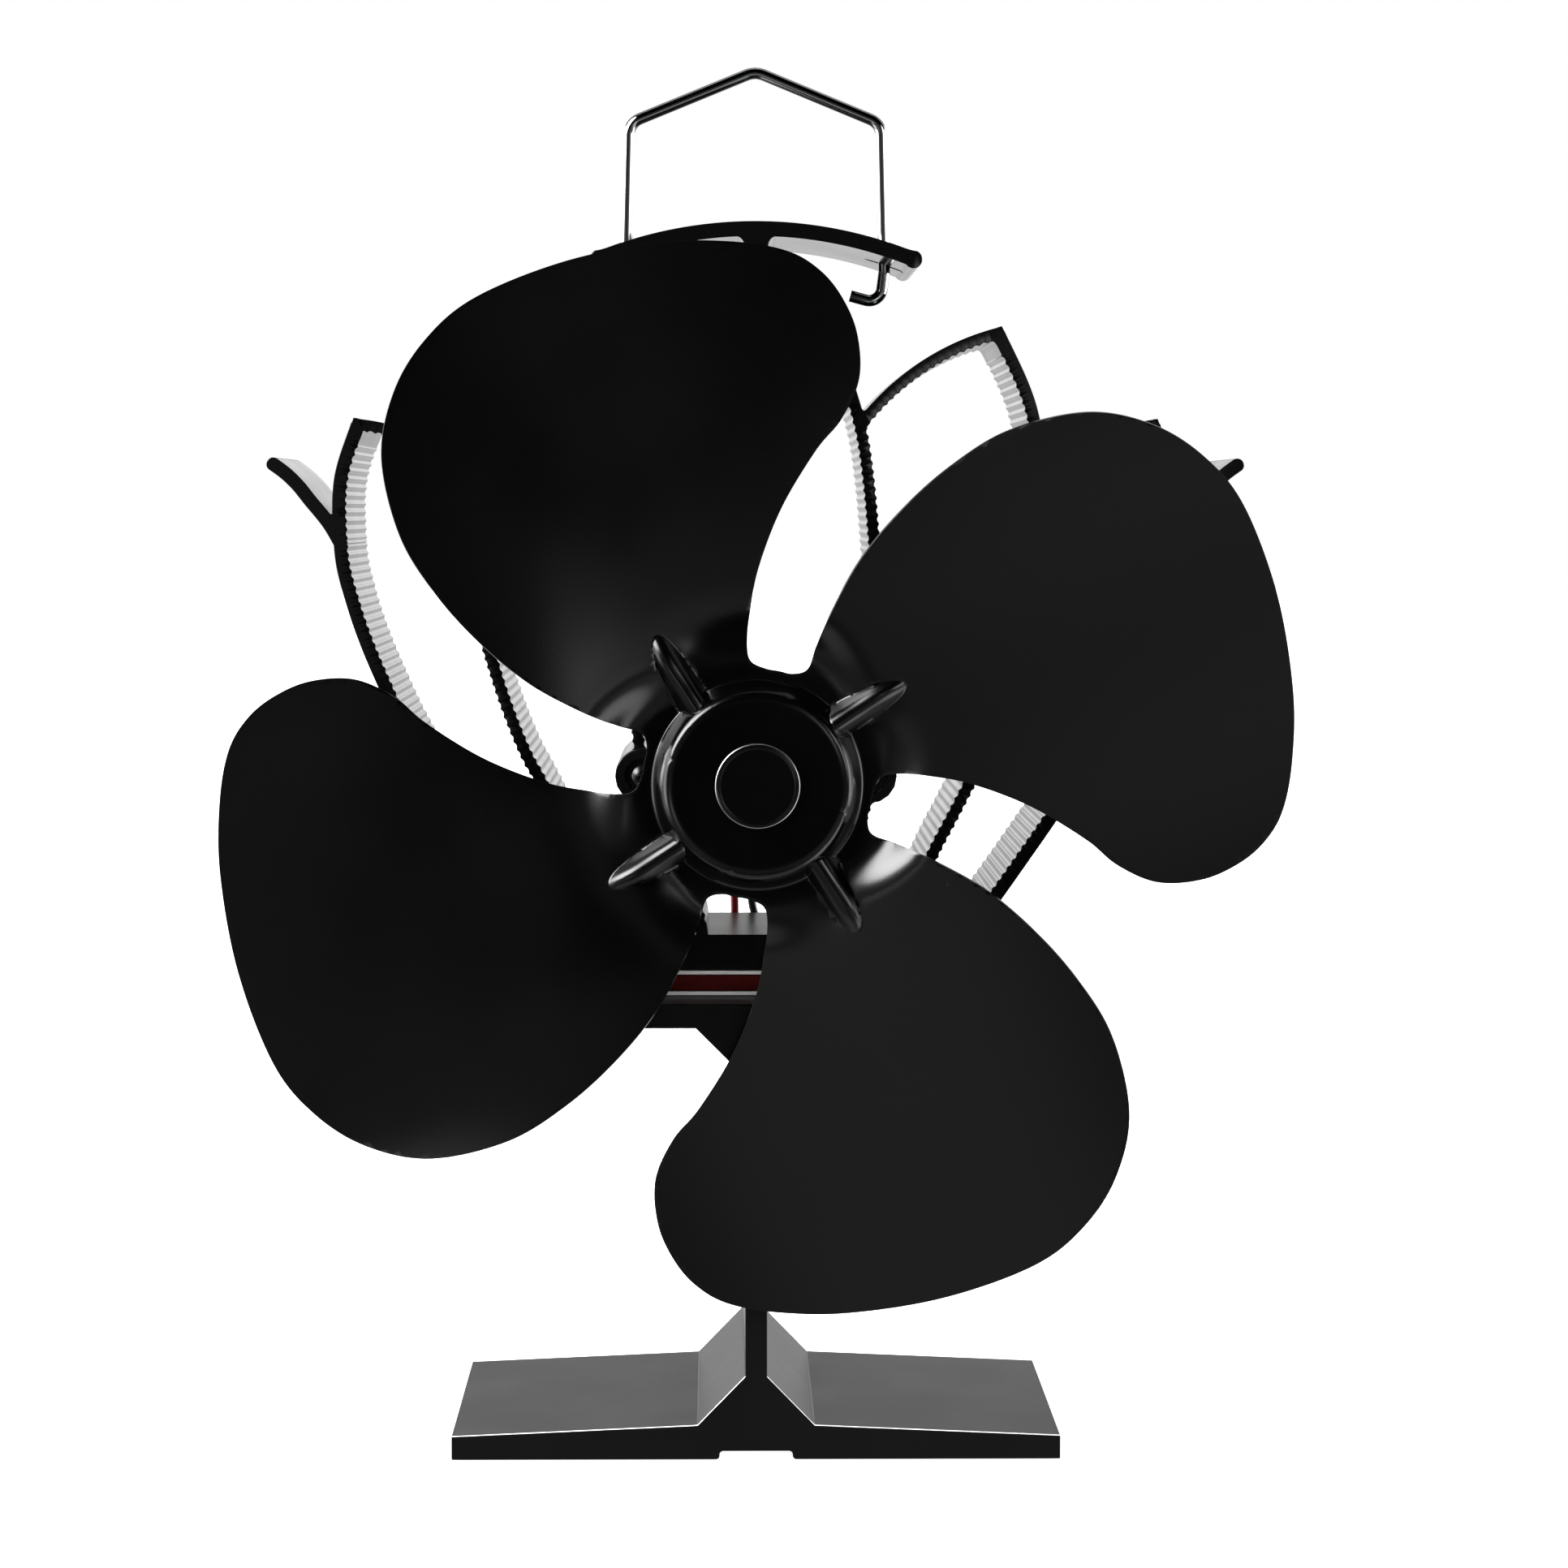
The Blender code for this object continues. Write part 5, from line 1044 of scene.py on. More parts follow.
def new_tree(name, sizes, counts=()):
    """A tree that takes a shape, sizes, counts and a material. Returned with its inputs by name."""
    tree = bpy.data.node_groups.new(name, "GeometryNodeTree")
    tree.interface.new_socket("Geometry", in_out="INPUT", socket_type="NodeSocketGeometry")
    for size in sizes:
        tree.interface.new_socket(size, in_out="INPUT", socket_type="NodeSocketFloat")
    for count in counts:
        tree.interface.new_socket(count, in_out="INPUT", socket_type="NodeSocketInt")
    tree.interface.new_socket("Material", in_out="INPUT", socket_type="NodeSocketMaterial")
    tree.interface.new_socket("Geometry", in_out="OUTPUT", socket_type="NodeSocketGeometry")
    graph = Graph(tree)
    given = tree.nodes.new("NodeGroupInput")
    return graph, {socket.name: Field(graph, socket) for socket in given.outputs if socket.name}


def end_tree(graph, shape, material, merge_distance=None):
    """End a tree with its instances made real, its doubles merged and its material set."""
    whole = graph.node("GeometryNodeRealizeInstances", None, shape)
    if merge_distance:
        whole = graph.node("GeometryNodeMergeByDistance", None, Geometry=whole, Distance=merge_distance)
    painted = graph.node("GeometryNodeSetMaterial", None, Geometry=whole, Material=material)
    graph.feed(graph.tree.nodes.new("NodeGroupOutput").inputs["Geometry"], painted)
    return graph.tree


def add_tree(source, tree, values):
    """Add a Geometry Nodes modifier and set its inputs by their identifiers."""
    modifier = source.modifiers.new(tree.name, "NODES")
    modifier.node_group = tree
    for item in tree.interface.items_tree:
        if item.item_type == "SOCKET" and item.in_out == "INPUT" and item.name in values:
            modifier[item.identifier] = values[item.name]


# Propeller

def pressing_tree():
    """Presses a flat blade blank to shape, and repeats it round the hub."""
    graph, size = new_tree("pressed_propeller", PRESSING_SIZES, ["Blades"])
    x, y, _ = graph.node("ShaderNodeSeparateXYZ", None, graph.node("GeometryNodeInputPosition"),
                         output=("X", "Y", "Z"))
    radius = (x * x + y * y).root()
    turn = x.maths("ARCTAN2", y, x)
    across = radius * (turn - size["Blade Axis"]).sine()
    lift = size["Reach"] * x.maths("TANH", size["Slope"] * across / size["Reach"])
    spread = across / (size["Fan Radius"] / 2)
    hollow = size["Camber"] * (1 - spread * spread)
    lead = size["Bend Lead"] * turn.rising(size["Lead Start"], size["Lead End"])
    skew = size["Bend Skew"] * (turn - size["Skew Start"]).larger(0.0)
    bend = (radius + lead - skew).rising(size["Bend Start Radius"], size["Bend End Radius"], "SMOOTHERSTEP")
    cap = size["Cap Rise"] * (1 - radius.rising(size["Cap Top Radius"], size["Cap Foot Radius"]))
    along = ((radius - size["Cap Top Radius"]) / (size["Rib End Radius"] - size["Cap Top Radius"])).limited()
    line = size["Rib Root"] + (size["Rib Tip"] - size["Rib Root"]) * along
    taper = 1 - along ** 3
    width = size["Rib Half Width"] * taper.larger(LEAST_TAPER_SHARE).root()
    off = abs(radius * (turn - line).sine()) / width
    crown = (1 - off * off).larger(0.0)
    beyond_cap = radius.maths("GREATER_THAN", radius, size["Cap Top Radius"])
    rib = size["Rib Rise"] * taper * crown ** 1.3 * beyond_cap
    root = size["Root Rise"] * (1 - radius.rising(size["Root Fade Start"], size["Root Fade End"]))
    height = bend * (lift - hollow + root) + cap.larger(rib)
    shift = graph.node("ShaderNodeCombineXYZ", None, 0.0, 0.0, height)
    blade = graph.node("GeometryNodeSetPosition", None, Geometry=size["Geometry"], Offset=shift)
    centres = graph.node("GeometryNodePoints", None, Count=size["Blades"])
    step = graph.node("GeometryNodeInputIndex") * (2 * math.pi) / size["Blades"]
    spin = graph.node("ShaderNodeCombineXYZ", None, 0.0, 0.0, step)
    ring = graph.node("GeometryNodeInstanceOnPoints", None, Points=centres, Instance=blade, Rotation=spin)
    return end_tree(graph, ring, size["Material"], BLADE_MERGE_DISTANCE)


def inside(point, outline):
    """Whether the point lies within the outline."""
    odd = False
    last = outline[-1]
    for here in outline:
        if (here.y > point.y) != (last.y > point.y):
            crossing = last.x + (point.y - last.y) * (here.x - last.x) / (here.y - last.y)
            odd ^= point.x < crossing
        last = here
    return odd


def polar(radius, angle):
    return Vector((radius * math.cos(angle), radius * math.sin(angle)))


def blade_outline():
    """A quarter of the flat blank: from the hub's hole out along its side, round one blade, and back."""
    knots = [polar(share * FAN_RADIUS, math.radians(degrees + 90 * k))
             for k in range(-1, 2) for share, degrees in BLADE_EDGE_SHARES]
    count = len(BLADE_EDGE_SHARES)
    edge = []
    for i in range(count, 2 * count):
        for step in range(EDGE_STEPS):
            edge.append(between(knots[i - 1], knots[i], knots[i + 1], knots[i + 2], step / EDGE_STEPS))
    edge.append(knots[2 * count])
    last = BLANK_START + math.pi / 2
    foot = edge[0].length
    radii = [HUB_HOLE_RADIUS + (foot - HUB_HOLE_RADIUS) * k / SIDE_STEPS for k in range(SIDE_STEPS)]
    outline = [polar(r, BLANK_START) for r in radii] + edge + [polar(r, last) for r in reversed(radii)]
    return outline + [polar(HUB_HOLE_RADIUS, last - (last - BLANK_START) * k / HOLE_STEPS)
                      for k in range(1, HOLE_STEPS)]


def ring_points(outline):
    """Points on rings within the outline. They lie closest from the cap's wall to the roots of the ribs."""
    quarter = math.pi / 2
    points = []
    radius = HUB_HOLE_RADIUS + CAP_POINT_STEP
    while radius < FAN_RADIUS:
        step = CAP_POINT_STEP if radius < CAP_GRID_END else BLADE_POINT_STEP
        turns = math.ceil(quarter * RING_REACH_SHARE * radius / step)
        for k in range(turns + 1):
            point = polar(radius, BLANK_START - RING_LEAD + (quarter * RING_REACH_SHARE) * k / turns)
            if inside(point, outline):
                points.append(point)
        if CAP_GRID_START < radius < CAP_GRID_END:
            radius += CAP_RING_STEP
        else:
            radius += RIB_RING_STEP if radius < RIB_GRID_END else BLADE_POINT_STEP
    return points


def rib_points():
    """Points in rows along and across the rib's line."""
    root, tip = PRESSING_SIZES["Rib Root"], PRESSING_SIZES["Rib Tip"]
    start, end = PRESSING_SIZES["Cap Top Radius"], PRESSING_SIZES["Rib End Radius"]
    points = []
    for i in range(RIB_ROWS + 1):
        radius = start + (end + POINT_GAP - start) * i / RIB_ROWS
        line = root + (tip - root) * (radius - start) / (end - start)
        points += [polar(radius, line + k * RIB_POINT_STEP / radius)
                   for k in range(-RIB_SIDE_POINTS, RIB_SIDE_POINTS + 1)]
    return points


def clear_of(points, outline):
    """The points that keep their gap to every point of the outline."""
    grid = {}
    for place in outline:
        grid.setdefault((round(place.x / GRID_CELL), round(place.y / GRID_CELL)), []).append(place)
    kept = []
    for point in points:
        column, row = round(point.x / GRID_CELL), round(point.y / GRID_CELL)
        close = [place for dx in (-1, 0, 1) for dy in (-1, 0, 1)
                 for place in grid.get((column + dx, row + dy), ())]
        if all((point - place).length > POINT_GAP for place in close):
            kept.append(point)
    return kept


def blade_blank():
    """A quarter of the flat blank, finely triangulated."""
    outline = blade_outline()
    on_rib = rib_points()
    beside = [point for point in ring_points(outline)
              if all(abs(point.x - place.x) + abs(point.y - place.y) > POINT_GAP for place in on_rib)]
    flat, triangles, sources = triangulated([outline], clear_of(beside + on_rib, outline))
    mesh = bpy.data.meshes.new("blade_blank")
    mesh.from_pydata([(point.x, point.y, 0) for point in flat], [],
                     [triangle for triangle, source in zip(triangles, sources) if source])
    return mesh


def make_propeller():
    """Four pressed blades round a raised cap, of one sheet with rounded edges."""
    source = loose_object("blade_source", blade_blank())
    add_tree(source, pressing_tree(), {"Blades": BLADE_COUNT, "Material": SHEET_PAINT, **PRESSING_SIZES})
    sheet = source.modifiers.new("sheet", "SOLIDIFY")
    sheet.thickness = SHEET_THICKNESS
    sheet.offset = 0
    round_edges(source, BLADE_EDGE_ROUND, 60)
    mesh = finished_mesh(source, "propeller")
    mesh.transform(Matrix.Rotation(math.pi / 2, 4, "X"))
    rear = max(vertex.co.y for vertex in mesh.vertices)
    mesh.transform(Matrix.Translation((0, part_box("fan_blades")[1].y - rear, AXIS_HEIGHT)))
    new_piece("propeller", evened(shade(mesh, 45)), SHEET_PAINT, "rotor", "black_painted_aluminium",
              "fan_blades")


# Turned and bent pieces

def drilled(mesh, cutters):
    """The mesh with the cutters' shapes taken out."""
    source = loose_object("drilled_source", mesh)
    for cutter in cutters:
        boolean = source.modifiers.new(cutter.name, "BOOLEAN")
        boolean.solver = "EXACT"
        boolean.object = cutter
    result = finished_mesh(source, mesh.name + "_drilled")
    for cutter in cutters:
        bpy.data.objects.remove(cutter, do_unlink=True)
    return result


def make_hub():
    """Swaged flange in front of the cap, shoulder behind it, and the boss with its grub hole."""
    low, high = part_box("hub")
    front, depth = low.y, high.y - low.y
    shoulder = HUB_FLANGE_THICKNESS + SHEET_THICKNESS + 2 * SEAT_GAP
    shoulder_rear = shoulder + HUB_SHOULDER_THICKNESS
    profile = [*HUB_FACE, (HUB_FLANGE_RADIUS, HUB_FLANGE_THICKNESS), (HUB_RADIUS, HUB_FLANGE_THICKNESS),
               (HUB_RADIUS, shoulder), (HUB_SHOULDER_RADIUS, shoulder), (HUB_SHOULDER_RADIUS, shoulder_rear),
               (HUB_RADIUS, shoulder_rear), (HUB_RADIUS, depth), (HUB_BORE_RADIUS, depth),
               (HUB_BORE_RADIUS, HUB_BORE_START), (0, HUB_BORE_START)]
    mesh = turned_mesh("hub_shape", eased(profile, HUB_EDGE_ROUND), (0, front, AXIS_HEIGHT), TURNED_STEPS)
    grub_low, grub_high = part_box("grub_screw")
    grub_y = (grub_low.y + grub_high.y) / 2
    radius = (grub_high.y - grub_low.y) / 2 + GRUB_HOLE_EASE
    hole = turned_mesh("grub_hole", [(0, 0), (radius, 0), (radius, GRUB_HOLE_DEPTH), (0, GRUB_HOLE_DEPTH)],
                       (0, 0, 0), SMALL_STEPS)
    hole.transform(Matrix.Translation((grub_low.x - GRUB_HOLE_START, grub_y, AXIS_HEIGHT))
                   @ Matrix.Rotation(-math.pi / 2, 4, "Z"))
    mesh = drilled(mesh, [loose_object("grub_hole", hole)])
    new_piece("hub_spool", evened(shade(mesh, 50)), HUB_STEEL, "rotor", "black_zinc_steel", "hub")


def make_motor_can():
    """The motor's can, with its boss in front and its rolled rim at the rear."""
    low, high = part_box("motor_can")
    length = high.y - low.y
    radius = (high.x - low.x) / 2
    rim = radius - CAN_RIM_STEP
    profile = [(CAN_BORE, 0), (CAN_BOSS_RADIUS, 0), (CAN_BOSS_RADIUS, CAN_BOSS_LENGTH),
               (radius, CAN_BOSS_LENGTH), (radius, length - CAN_RIM_START), (rim, length - CAN_RIM_LENGTH),
               (rim, length), (radius - CAN_WALL, length), (radius - CAN_WALL, CAN_FLOOR),
               (CAN_BORE, CAN_FLOOR)]
    mesh = turned_mesh("can_shape", eased(profile, CAN_ROUND, 4, closed=True), (0, low.y, AXIS_HEIGHT),
                       TURNED_STEPS)
    new_piece("motor_can_drawn", evened(shade(mesh, 50)), ZINC, "frame", "zinc_steel", "motor_can")


def wire_tree():
    """A round wire along the object's own line."""
    graph, size = new_tree("bent_wire", ["Radius"], ["Sides"])
    line = graph.node("GeometryNodeMeshToCurve", None, size["Geometry"])
    ring = graph.node("GeometryNodeCurvePrimitiveCircle", {"mode": "RADIUS"}, Resolution=size["Sides"],
                      Radius=size["Radius"])
    tube = graph.node("GeometryNodeCurveToMesh", None, line, ring, **{"Fill Caps": True})
    return end_tree(graph, tube, size["Material"], MERGE_DISTANCE)


WIRE = wire_tree()


def wire_mesh(name, path, radius, sides, material):
    """A round wire along the path."""
    mesh = bpy.data.meshes.new(name)
    mesh.from_pydata([tuple(p) for p in path], [(i, i + 1) for i in range(len(path) - 1)], [])
    source = loose_object(name + "_source", mesh)
    add_tree(source, WIRE, {"Radius": radius, "Sides": sides, "Material": material})
    return shade(finished_mesh(source, name), 50)


def rounded_run(corners, radii, steps):
    """An open run of corners, each inner one rounded by its own radius."""
    result = [corners[0]]
    for i in range(1, len(corners) - 1):
        here = corners[i]
        back, ahead = corners[i - 1] - here, corners[i + 1] - here
        half_angle = back.angle(ahead) / 2
        reach = min(radii[i - 1] / math.tan(half_angle), back.length / 2, ahead.length / 2)
        radius = reach * math.tan(half_angle)
        middle = (back.normalized() + ahead.normalized()).normalized()
        centre = here + middle * (radius / math.sin(half_angle))
        first = here + back.normalized() * reach - centre
        last = here + ahead.normalized() * reach - centre
        result += [centre + first.slerp(last, k / steps) * radius for k in range(steps + 1)]
    return result + [corners[-1]]


def make_handle():
    """Two legs through the arch's slots, hooked inward under it, and a blunt point on top."""
    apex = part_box("handle")[1].z - WIRE_RADIUS
    under = ARCH_CENTRE + math.sqrt(ARCH_RADIUS ** 2 - HANDLE_LEG_HALF ** 2) - ARCH_THICKNESS
    hook = under - HOOK_DROP
    half = [(HANDLE_LEG_HALF - HOOK_END, hook + HOOK_TILT), (HANDLE_LEG_HALF - HOOK_CORNER, hook),
            (HANDLE_LEG_HALF, under), (SHOULDER_HALF, apex - SHOULDER_DROP)]
    corners = [Vector((x, SINK_MIDDLE, z)) for x, z in half] + [Vector((0, SINK_MIDDLE, apex))]
    corners += [Vector((-x, SINK_MIDDLE, z)) for x, z in reversed(half)]
    mesh = wire_mesh("handle_wire", rounded_run(corners, HANDLE_BENDS, 12), WIRE_RADIUS, WIRE_SIDES, CHROME)
    new_piece("handle_wire", mesh, CHROME, "handle", "chrome_wire", "handle")


def make_leads():
    """Red and black sleeved leads, from the motor's tabs to the module's rear edge."""
    tab_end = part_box("motor_terminal_positive")[1].y + SEAT_GAP
    exit_y = SINK_REAR + SEAT_GAP
    exit_z = (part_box("module_core")[0].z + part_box("module_core")[1].z) / 2
    depth = exit_y + LEAD_STAND_OFF - tab_end
    drop = AXIS_HEIGHT - exit_z
    for column, sign, colour, material in ((0, -1, "red", RED_SLEEVE), (1, 1, "black", BLACK_SLEEVE)):
        route = [(sign * shares[column] * TAB_X, tab_end + shares[2] * depth, AXIS_HEIGHT - shares[3] * drop)
                 for shares in LEAD_ROUTE_SHARES]
        route += [(route[-1][0], exit_y + LEAD_DIAMETER, exit_z), (route[-1][0], exit_y, exit_z)]
        node = "lead_" + colour
        mesh = wire_mesh(node + "_sleeve", smooth_through(route, LEAD_STEP), LEAD_DIAMETER / 2, LEAD_SIDES,
                         material)
        new_piece(node + "_sleeve", mesh, material, "frame", colour + "_sleeve", node)


def screw_tree():
    """A pan-head screw with a cross recess, repeated on each point and turned to its normal."""
    graph, size = new_tree("cross_head_screws", ["Head Radius", "Head Height", "Shank Radius", "Shank Length",
                                                 "Recess", "Turn"])
    height, radius = size["Head Height"], size["Head Radius"]

    def up(value):
        return graph.node("ShaderNodeCombineXYZ", None, 0.0, 0.0, value)

    head = graph.node("GeometryNodeMeshCylinder", None, Vertices=48, Radius=radius, Depth=height,
                      output="Mesh", **{"Side Segments": 6, "Fill Segments": 6})
    x, y, z = graph.node("ShaderNodeSeparateXYZ", None, graph.node("GeometryNodeInputPosition"),
                         output=("X", "Y", "Z"))
    out = (x * x + y * y).root() / radius
    rise = z / height + 0.5
    dome = 1 - CROWN_DROP_SHARE * out ** CROWN_POWER
    squeeze = 1 - HEAD_TAPER_SHARE * rise ** 3
    place = graph.node("ShaderNodeCombineXYZ", None, x * squeeze, y * squeeze, rise * height * dome)
    domed = graph.node("GeometryNodeSetPosition", None, Geometry=head, Position=place)
    shank = graph.node("GeometryNodeMeshCylinder", None, Vertices=32, Radius=size["Shank Radius"],
                       Depth=size["Shank Length"] + 2 * SHANK_OVERLAP, output="Mesh")
    shank = graph.node("GeometryNodeTransform", None, Geometry=shank,
                       Translation=up(SHANK_OVERLAP - size["Shank Length"] / 2))
    arms = []
    for angle in (0.0, math.pi / 2):
        bar = graph.node("ShaderNodeCombineXYZ", None, size["Recess"] * 2,
                         size["Recess"] * RECESS_WIDTH_SHARE, size["Recess"] * RECESS_DEPTH_SHARE)
        cube = graph.node("GeometryNodeMeshCube", None, Size=bar, output="Mesh")
        arms.append(graph.node("GeometryNodeTransform", None, Geometry=cube, Translation=up(height),
                               Rotation=(0.0, 0.0, angle)))
    cross = graph.node("GeometryNodeMeshBoolean", {"operation": "UNION", "solver": "EXACT"}, output="Mesh",
                       Mesh=arms[0])
    graph.feed(graph.find(cross.socket.node.inputs, "Mesh"), arms[1])
    solid = graph.node("GeometryNodeMeshBoolean", {"operation": "DIFFERENCE", "solver": "EXACT"},
                       output="Mesh", **{"Mesh 1": domed, "Mesh 2": cross})
    both = graph.node("GeometryNodeJoinGeometry", None, solid)
    graph.feed(both.socket.node.inputs[0], shank)
    normal = graph.node("GeometryNodeInputNamedAttribute", {"data_type": "FLOAT_VECTOR"}, Name="seat_normal",
                        output="Attribute")
    facing = graph.node("FunctionNodeAlignRotationToVector", {"axis": "Z"}, Vector=normal)
    twist = graph.node("FunctionNodeEulerToRotation", None, up(size["Turn"]))
    spin = graph.node("FunctionNodeRotateRotation", {"rotation_space": "LOCAL"}, facing, twist)
    points = graph.node("GeometryNodeMeshToPoints", None, size["Geometry"])
    screws = graph.node("GeometryNodeInstanceOnPoints", None, Points=points, Instance=both, Rotation=spin)
    return end_tree(graph, screws, size["Material"])


def make_screws(name, tree, nodes, sizes, axis, places, material, slot):
    """Screws in place of the nodes, through the places. They point along the axis, 1 for Y and 2 for Z."""
    low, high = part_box(nodes[0])
    head = sizes["Head Height"]
    seats = []
    for place in places:
        seat = list(place)
        seat[axis] = low[axis] + head
        seats.append(seat)
    mesh = bpy.data.meshes.new(name)
    mesh.from_pydata(seats, [], [])
    store = mesh.attributes.new("seat_normal", "FLOAT_VECTOR", "POINT")
    for item in store.data:
        item.vector = [-1 if k == axis else 0 for k in range(3)]
    source = loose_object(name + "_source", mesh)
    add_tree(source, tree, {"Material": material, "Shank Length": high[axis] - low[axis] - head, **sizes})
    new_piece(name, shade(finished_mesh(source, name), 32), material, "frame", slot, *nodes)


def make_all_screws():
    """Two screws each in the bracket's ears, in the motor's front and under the platform."""
    tree = screw_tree()
    ears = [(sign * EAR_HALF, 0, AXIS_HEIGHT) for sign in (-1, 1)]
    make_screws("ear_screws", tree, ("bracket_screw_left", "bracket_screw_right"), EAR_SCREW, 1, ears,
                BRACKET_STEEL, "black_zinc_steel")
    holes = [(0, 0, AXIS_HEIGHT + sign * MOTOR_SCREW_HALF_SPACING) for sign in (-1, 1)]
    make_screws("motor_screws", tree, ("motor_screw_lower", "motor_screw_upper"), MOTOR_SCREW, 1, holes,
                ZINC, "zinc_steel")
    clamps = [(sign * CLAMP_HALF_SPACING, SINK_MIDDLE, 0) for sign in (-1, 1)]
    make_screws("clamp_screws", tree, ("clamp_screw_left", "clamp_screw_right"), CLAMP_SCREW, 2, clamps,
                ZINC, "zinc_steel")


# Pieces that keep the frame's own shape, with rounded edges
REFINED = (("base", 0.00022, BASE_PAINT, "frame", "black_painted_aluminium"),
           ("motor_bracket", 0.00022, BRACKET_STEEL, "frame", "black_zinc_steel"),
           ("module_hot_plate", 0.00006, CERAMIC, "frame", "white_ceramic"),
           ("module_cold_plate", 0.00006, CERAMIC, "frame", "white_ceramic"),
           ("module_seal", 0.0003, SEALANT, "frame", "red_sealant"),
           ("motor_end_cap", 0.00015, NYLON, "frame", "white_nylon"),
           ("motor_terminal_positive", 0.0001, BRASS_TAB, "frame", "brass_tab"),
           ("motor_terminal_negative", 0.0001, BRASS_TAB, "frame", "brass_tab"),
           ("clamp_washer_left", 0.0001, ZINC, "frame", "zinc_steel"),
           ("clamp_washer_right", 0.0001, ZINC, "frame", "zinc_steel"),
           ("bimetal_strip", 0.0001, BIMETAL, "frame", "bimetal"))

# Nodes that stay as they are, with their finish
CARRIED = {"bimetal_rivet": ZINC, "grub_screw": BRACKET_STEEL, "motor_shaft": TURNED_STEEL,
           "armature_core": LAMINATED, "winding_a": WOUND_COPPER, "winding_b": WOUND_COPPER,
           "winding_c": WOUND_COPPER, "commutator": COPPER_RING, "front_bearing": BRONZE,
           "rear_bearing": BRONZE, "magnet_left": FERRITE, "magnet_right": FERRITE,
           "brush_positive": CARBON, "brush_negative": CARBON, "module_core": TELLURIDE}


def make_refined():
    """The pieces that keep the frame's shapes, with rounded edges where they show and their own finish."""
    for node, edge, material, body, slot in REFINED:
        new_piece(node + "_finished", refined(node, edge), material, body, slot, node)
    for node, material in CARRIED.items():
        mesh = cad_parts[node].data
        mesh.materials.clear()
        mesh.materials.append(material)


# Studio

CAMERA_PLACE = (-0.0070, -0.72536, 0.15785)
CAMERA_YAW = math.radians(0.9387)
CAMERA_PITCH = math.radians(3.654)
CAMERA_ROLL = math.radians(0.06)
LENS = 98.01
SENSOR_WIDTH = 36
FLOOR_RADIUS = 8.0
FLOOR_DROP = 0.0003
DOME_RADIUS = 2.6

# Soft lights of the dome: azimuth from the front towards +X, elevation and spread in degrees, and level
FRONT_LIGHTS = ((-62, 32, 27, 20.0), (68, -36, 26, 2.4), (50, 14, 17, 3.5))
RIM_LIGHTS = ((-125, 12, 18, 9.0), (125, 12, 18, 9.0))


def make_camera():
    """The photo's own view: a long lens, a little above the middle."""
    camera = bpy.data.objects.new("camera", bpy.data.cameras.new("camera"))
    bpy.context.scene.collection.objects.link(camera)
    camera.data.lens = LENS
    camera.data.sensor_width = SENSOR_WIDTH
    turn = (Matrix.Rotation(-CAMERA_YAW, 4, "Z") @ Matrix.Rotation(math.pi / 2 - CAMERA_PITCH, 4, "X")
            @ Matrix.Rotation(CAMERA_ROLL, 4, "Z"))
    camera.matrix_world = Matrix.Translation(CAMERA_PLACE) @ turn
    bpy.context.scene.camera = camera


def make_floor():
    """A plain pale floor, seen by the camera only."""
    skin = Finish("pale_floor", Roughness=0.9, Specular_IOR_Level=0.0)
    skin.set(Base_Color=skin.blend(skin.noise(6, 3), (0.86, 0.86, 0.86), (0.88, 0.88, 0.88)))
    skin.set(Emission_Color=(1, 1, 1, 1), Emission_Strength=0.95)
    shape = bmesh.new()
    bmesh.ops.create_circle(shape, cap_ends=True, segments=64, radius=FLOOR_RADIUS)
    mesh = mesh_of(shape, "floor")
    mesh.materials.append(skin.material)
    floor = loose_object("floor", mesh)
    floor.location.z = -FLOOR_DROP
    floor.visible_diffuse = False
    floor.visible_glossy = False


def glows(parts, lights):
    """The levels of soft lights, each falling smoothly to nothing at its spread."""
    return [lobe(parts, *direction_and_spread) * strength for *direction_and_spread, strength in lights]


def lobe(parts, azimuth, elevation, spread):
    """1 in a direction from the fan, and 0 from the spread on, all in degrees."""
    turn, rise = math.radians(azimuth), math.radians(elevation)
    aim = (math.sin(turn) * math.cos(rise), -math.cos(turn) * math.cos(rise), math.sin(rise))
    near = parts[0] * aim[0] + parts[1] * aim[1] + parts[2] * aim[2]
    return near.rising(math.cos(math.radians(spread)), math.cos(math.radians(spread * 0.25)))


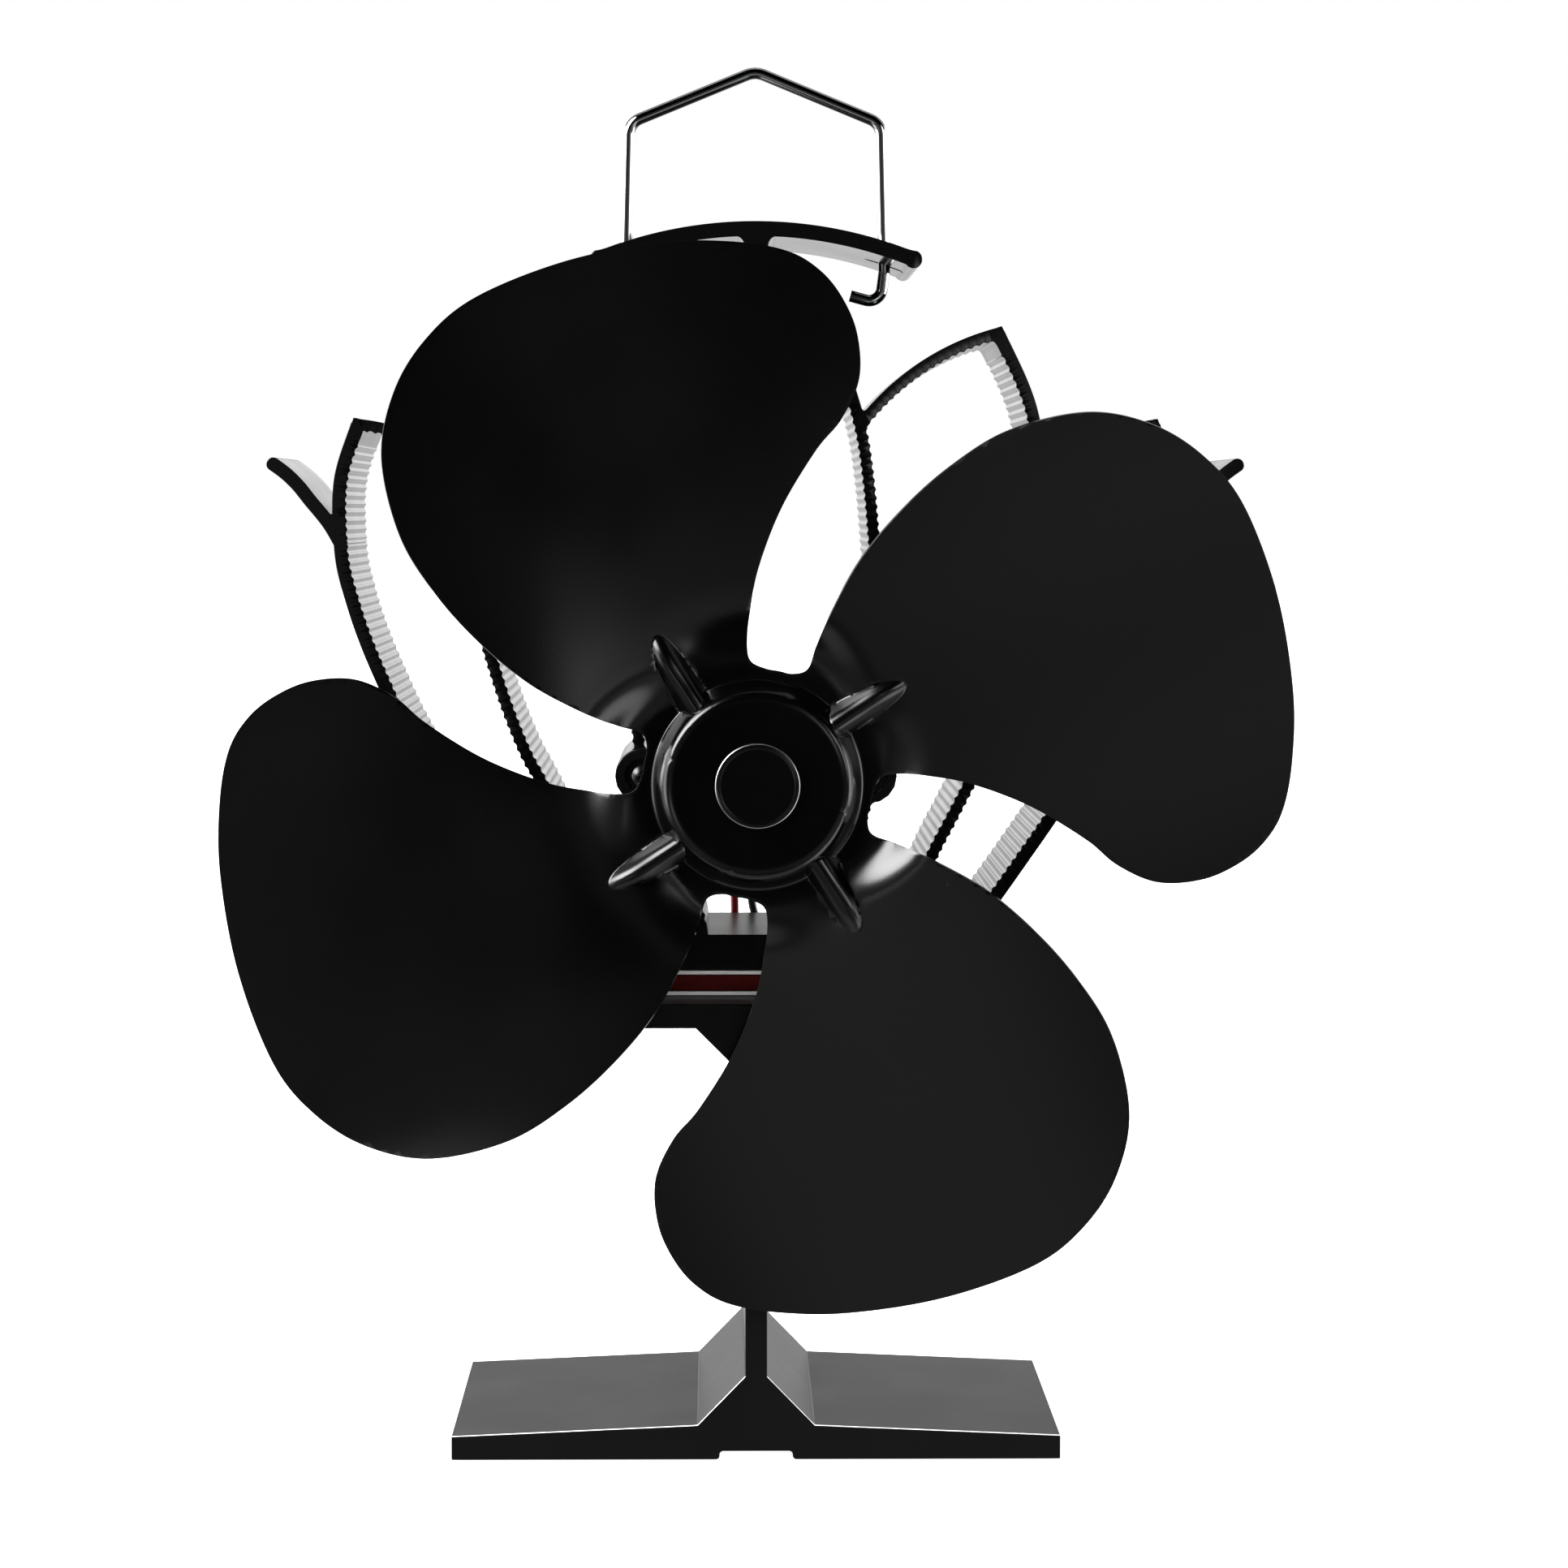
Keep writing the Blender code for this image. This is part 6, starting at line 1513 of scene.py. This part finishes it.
def make_dome():
    """The studio round the fan: bright behind and beside it, dim in front, and unseen by the camera."""
    skin = Finish("studio_dome", Base_Color=(0, 0, 0, 1), Roughness=1.0, Specular_IOR_Level=0.0)
    parts = [part / DOME_RADIUS for part in skin.parts()]
    side, depth, height = parts
    behind = depth.rising(-0.10, 0.16)
    raised = height.rising(-0.03, 0.07)
    off_centre = abs(side).rising(0.008, 0.03)
    wall = (0.82 + raised * 0.1) * (1 - off_centre)
    wall = wall + (0.68 - abs(side).rising(0.08, 0.17) * 0.2 + raised * 0.6) * off_centre
    wall = wall * (1 - 0.6 * height.rising(0.125, 0.165)) * (1 - 0.3 * abs(side).rising(0.25, 0.45))
    down = 0 - height
    floor = (0.16 + 0.16 * abs(side).rising(0.1, 0.32)) * down.rising(0.12, 0.2)
    floor = floor * (1 - 0.4 * down.rising(0.38, 0.55)) + down.rising(0.66, 0.82) * 0.4
    haze = (0 - side).rising(0.35, 0.8) * 0.15 + side.rising(0.2, 0.5) * 0.12
    haze = haze * (1 - abs(height - 0.05).rising(0.12, 0.35))
    haze = haze + height.rising(0.0, 0.05) * (1 - height.rising(0.16, 0.26)) * 0.05
    front = sum(glows(parts, FRONT_LIGHTS), floor + haze)
    sides = (0 - side).rising(0.80, 0.96) * 4.0 + side.rising(0.88, 0.98) * 4.0
    sides = sides * (1 - abs(height - 0.05).rising(0.2, 0.5))
    left_rim, right_rim = glows(parts, RIM_LIGHTS)
    skin.glow(behind * wall + (1 - behind) * front + sides + (left_rim + right_rim))
    shape = bmesh.new()
    bmesh.ops.create_icosphere(shape, subdivisions=4, radius=DOME_RADIUS)
    bmesh.ops.reverse_faces(shape, faces=shape.faces)
    mesh = mesh_of(shape, "dome")
    mesh.materials.append(skin.material)
    dome = loose_object("dome", mesh)
    dome.location = (0, 0, AXIS_HEIGHT)
    dome.visible_camera = False
    dome.visible_shadow = False


def make_card(name, x_range, z_range, depth, shading, soft):
    """A reflector in front of the fan, seen only in its gloss, or a soft light that no gloss shows."""
    skin = Finish(name, Base_Color=(0, 0, 0, 1), Roughness=1.0, Specular_IOR_Level=0.0)
    x, _, z = skin.parts()
    skin.glow(shading(x, z))
    mesh = bpy.data.meshes.new(name)
    (x0, x1), (z0, z1) = x_range, z_range
    mesh.from_pydata([(x0, depth, z0), (x1, depth, z0), (x1, depth, z1), (x0, depth, z1)], [], [(3, 2, 1, 0)])
    mesh.materials.append(skin.material)
    card = loose_object(name, mesh)
    card.visible_camera = False
    card.visible_shadow = False
    card.visible_diffuse = soft
    card.visible_glossy = not soft


def left_shade(x, z):
    """Light that grows towards the lower left."""
    return ((0.25 - z) * 40 - x * 20).rising(3.3, 5.3) * 0.12


def right_shade(x, z):
    """Light with soft edges, brighter below the upper petals."""
    level = (0.22 - z).rising(0.0, 0.08) * 0.7 + (0.178 - z).rising(0.0, 0.03) * 1.1
    return level * (z - 0.11).rising(0.0, 0.04) * x.rising(0.04, 0.062) * (0.10 - x).rising(0.0, 0.02)


def root_shade(x, z):
    """A small soft patch that shows in the root of the left blade."""
    across = x.rising(-0.14, -0.11) * (1 - x.rising(-0.10, -0.07))
    return across * z.rising(0.03, 0.055) * (1 - z.rising(0.075, 0.098)) * 1.5


def front_shade(_, z):
    """Nearly even light, a little stronger higher up."""
    return 2.6 + z * 0.5


# The cards in front of the fan: name, reach along X and Z, place along Y, shading, and whether it is a soft
# light or a reflector
CARDS = (("left_card", (-0.45, -0.08), (0.02, 0.30), -0.40, left_shade, False),
         ("right_card", (0.04, 0.10), (0.11, 0.22), -0.25, right_shade, False),
         ("root_card", (-0.14, -0.07), (0.03, 0.10), -0.25, root_shade, False),
         ("soft_front_light", (-0.6, 0.6), (0.0, 0.7), -1.3, front_shade, True))


def make_studio():
    """White world for the camera, the floor, the dome that lights the fan, and the cards in front of it."""
    scene = bpy.context.scene
    scene.world = bpy.data.worlds.new("white_room")
    scene.world.use_nodes = True
    background = scene.world.node_tree.nodes["Background"]
    background.inputs["Color"].default_value = (1, 1, 1, 1)
    background.inputs["Strength"].default_value = 1.0
    scene.view_settings.view_transform = "Standard"
    make_floor()
    make_dome()
    for card in CARDS:
        make_card(*card)


make_camera()
make_heat_sink()
make_propeller()
make_hub()
make_motor_can()
make_handle()
make_leads()
make_all_screws()
make_refined()
make_studio()
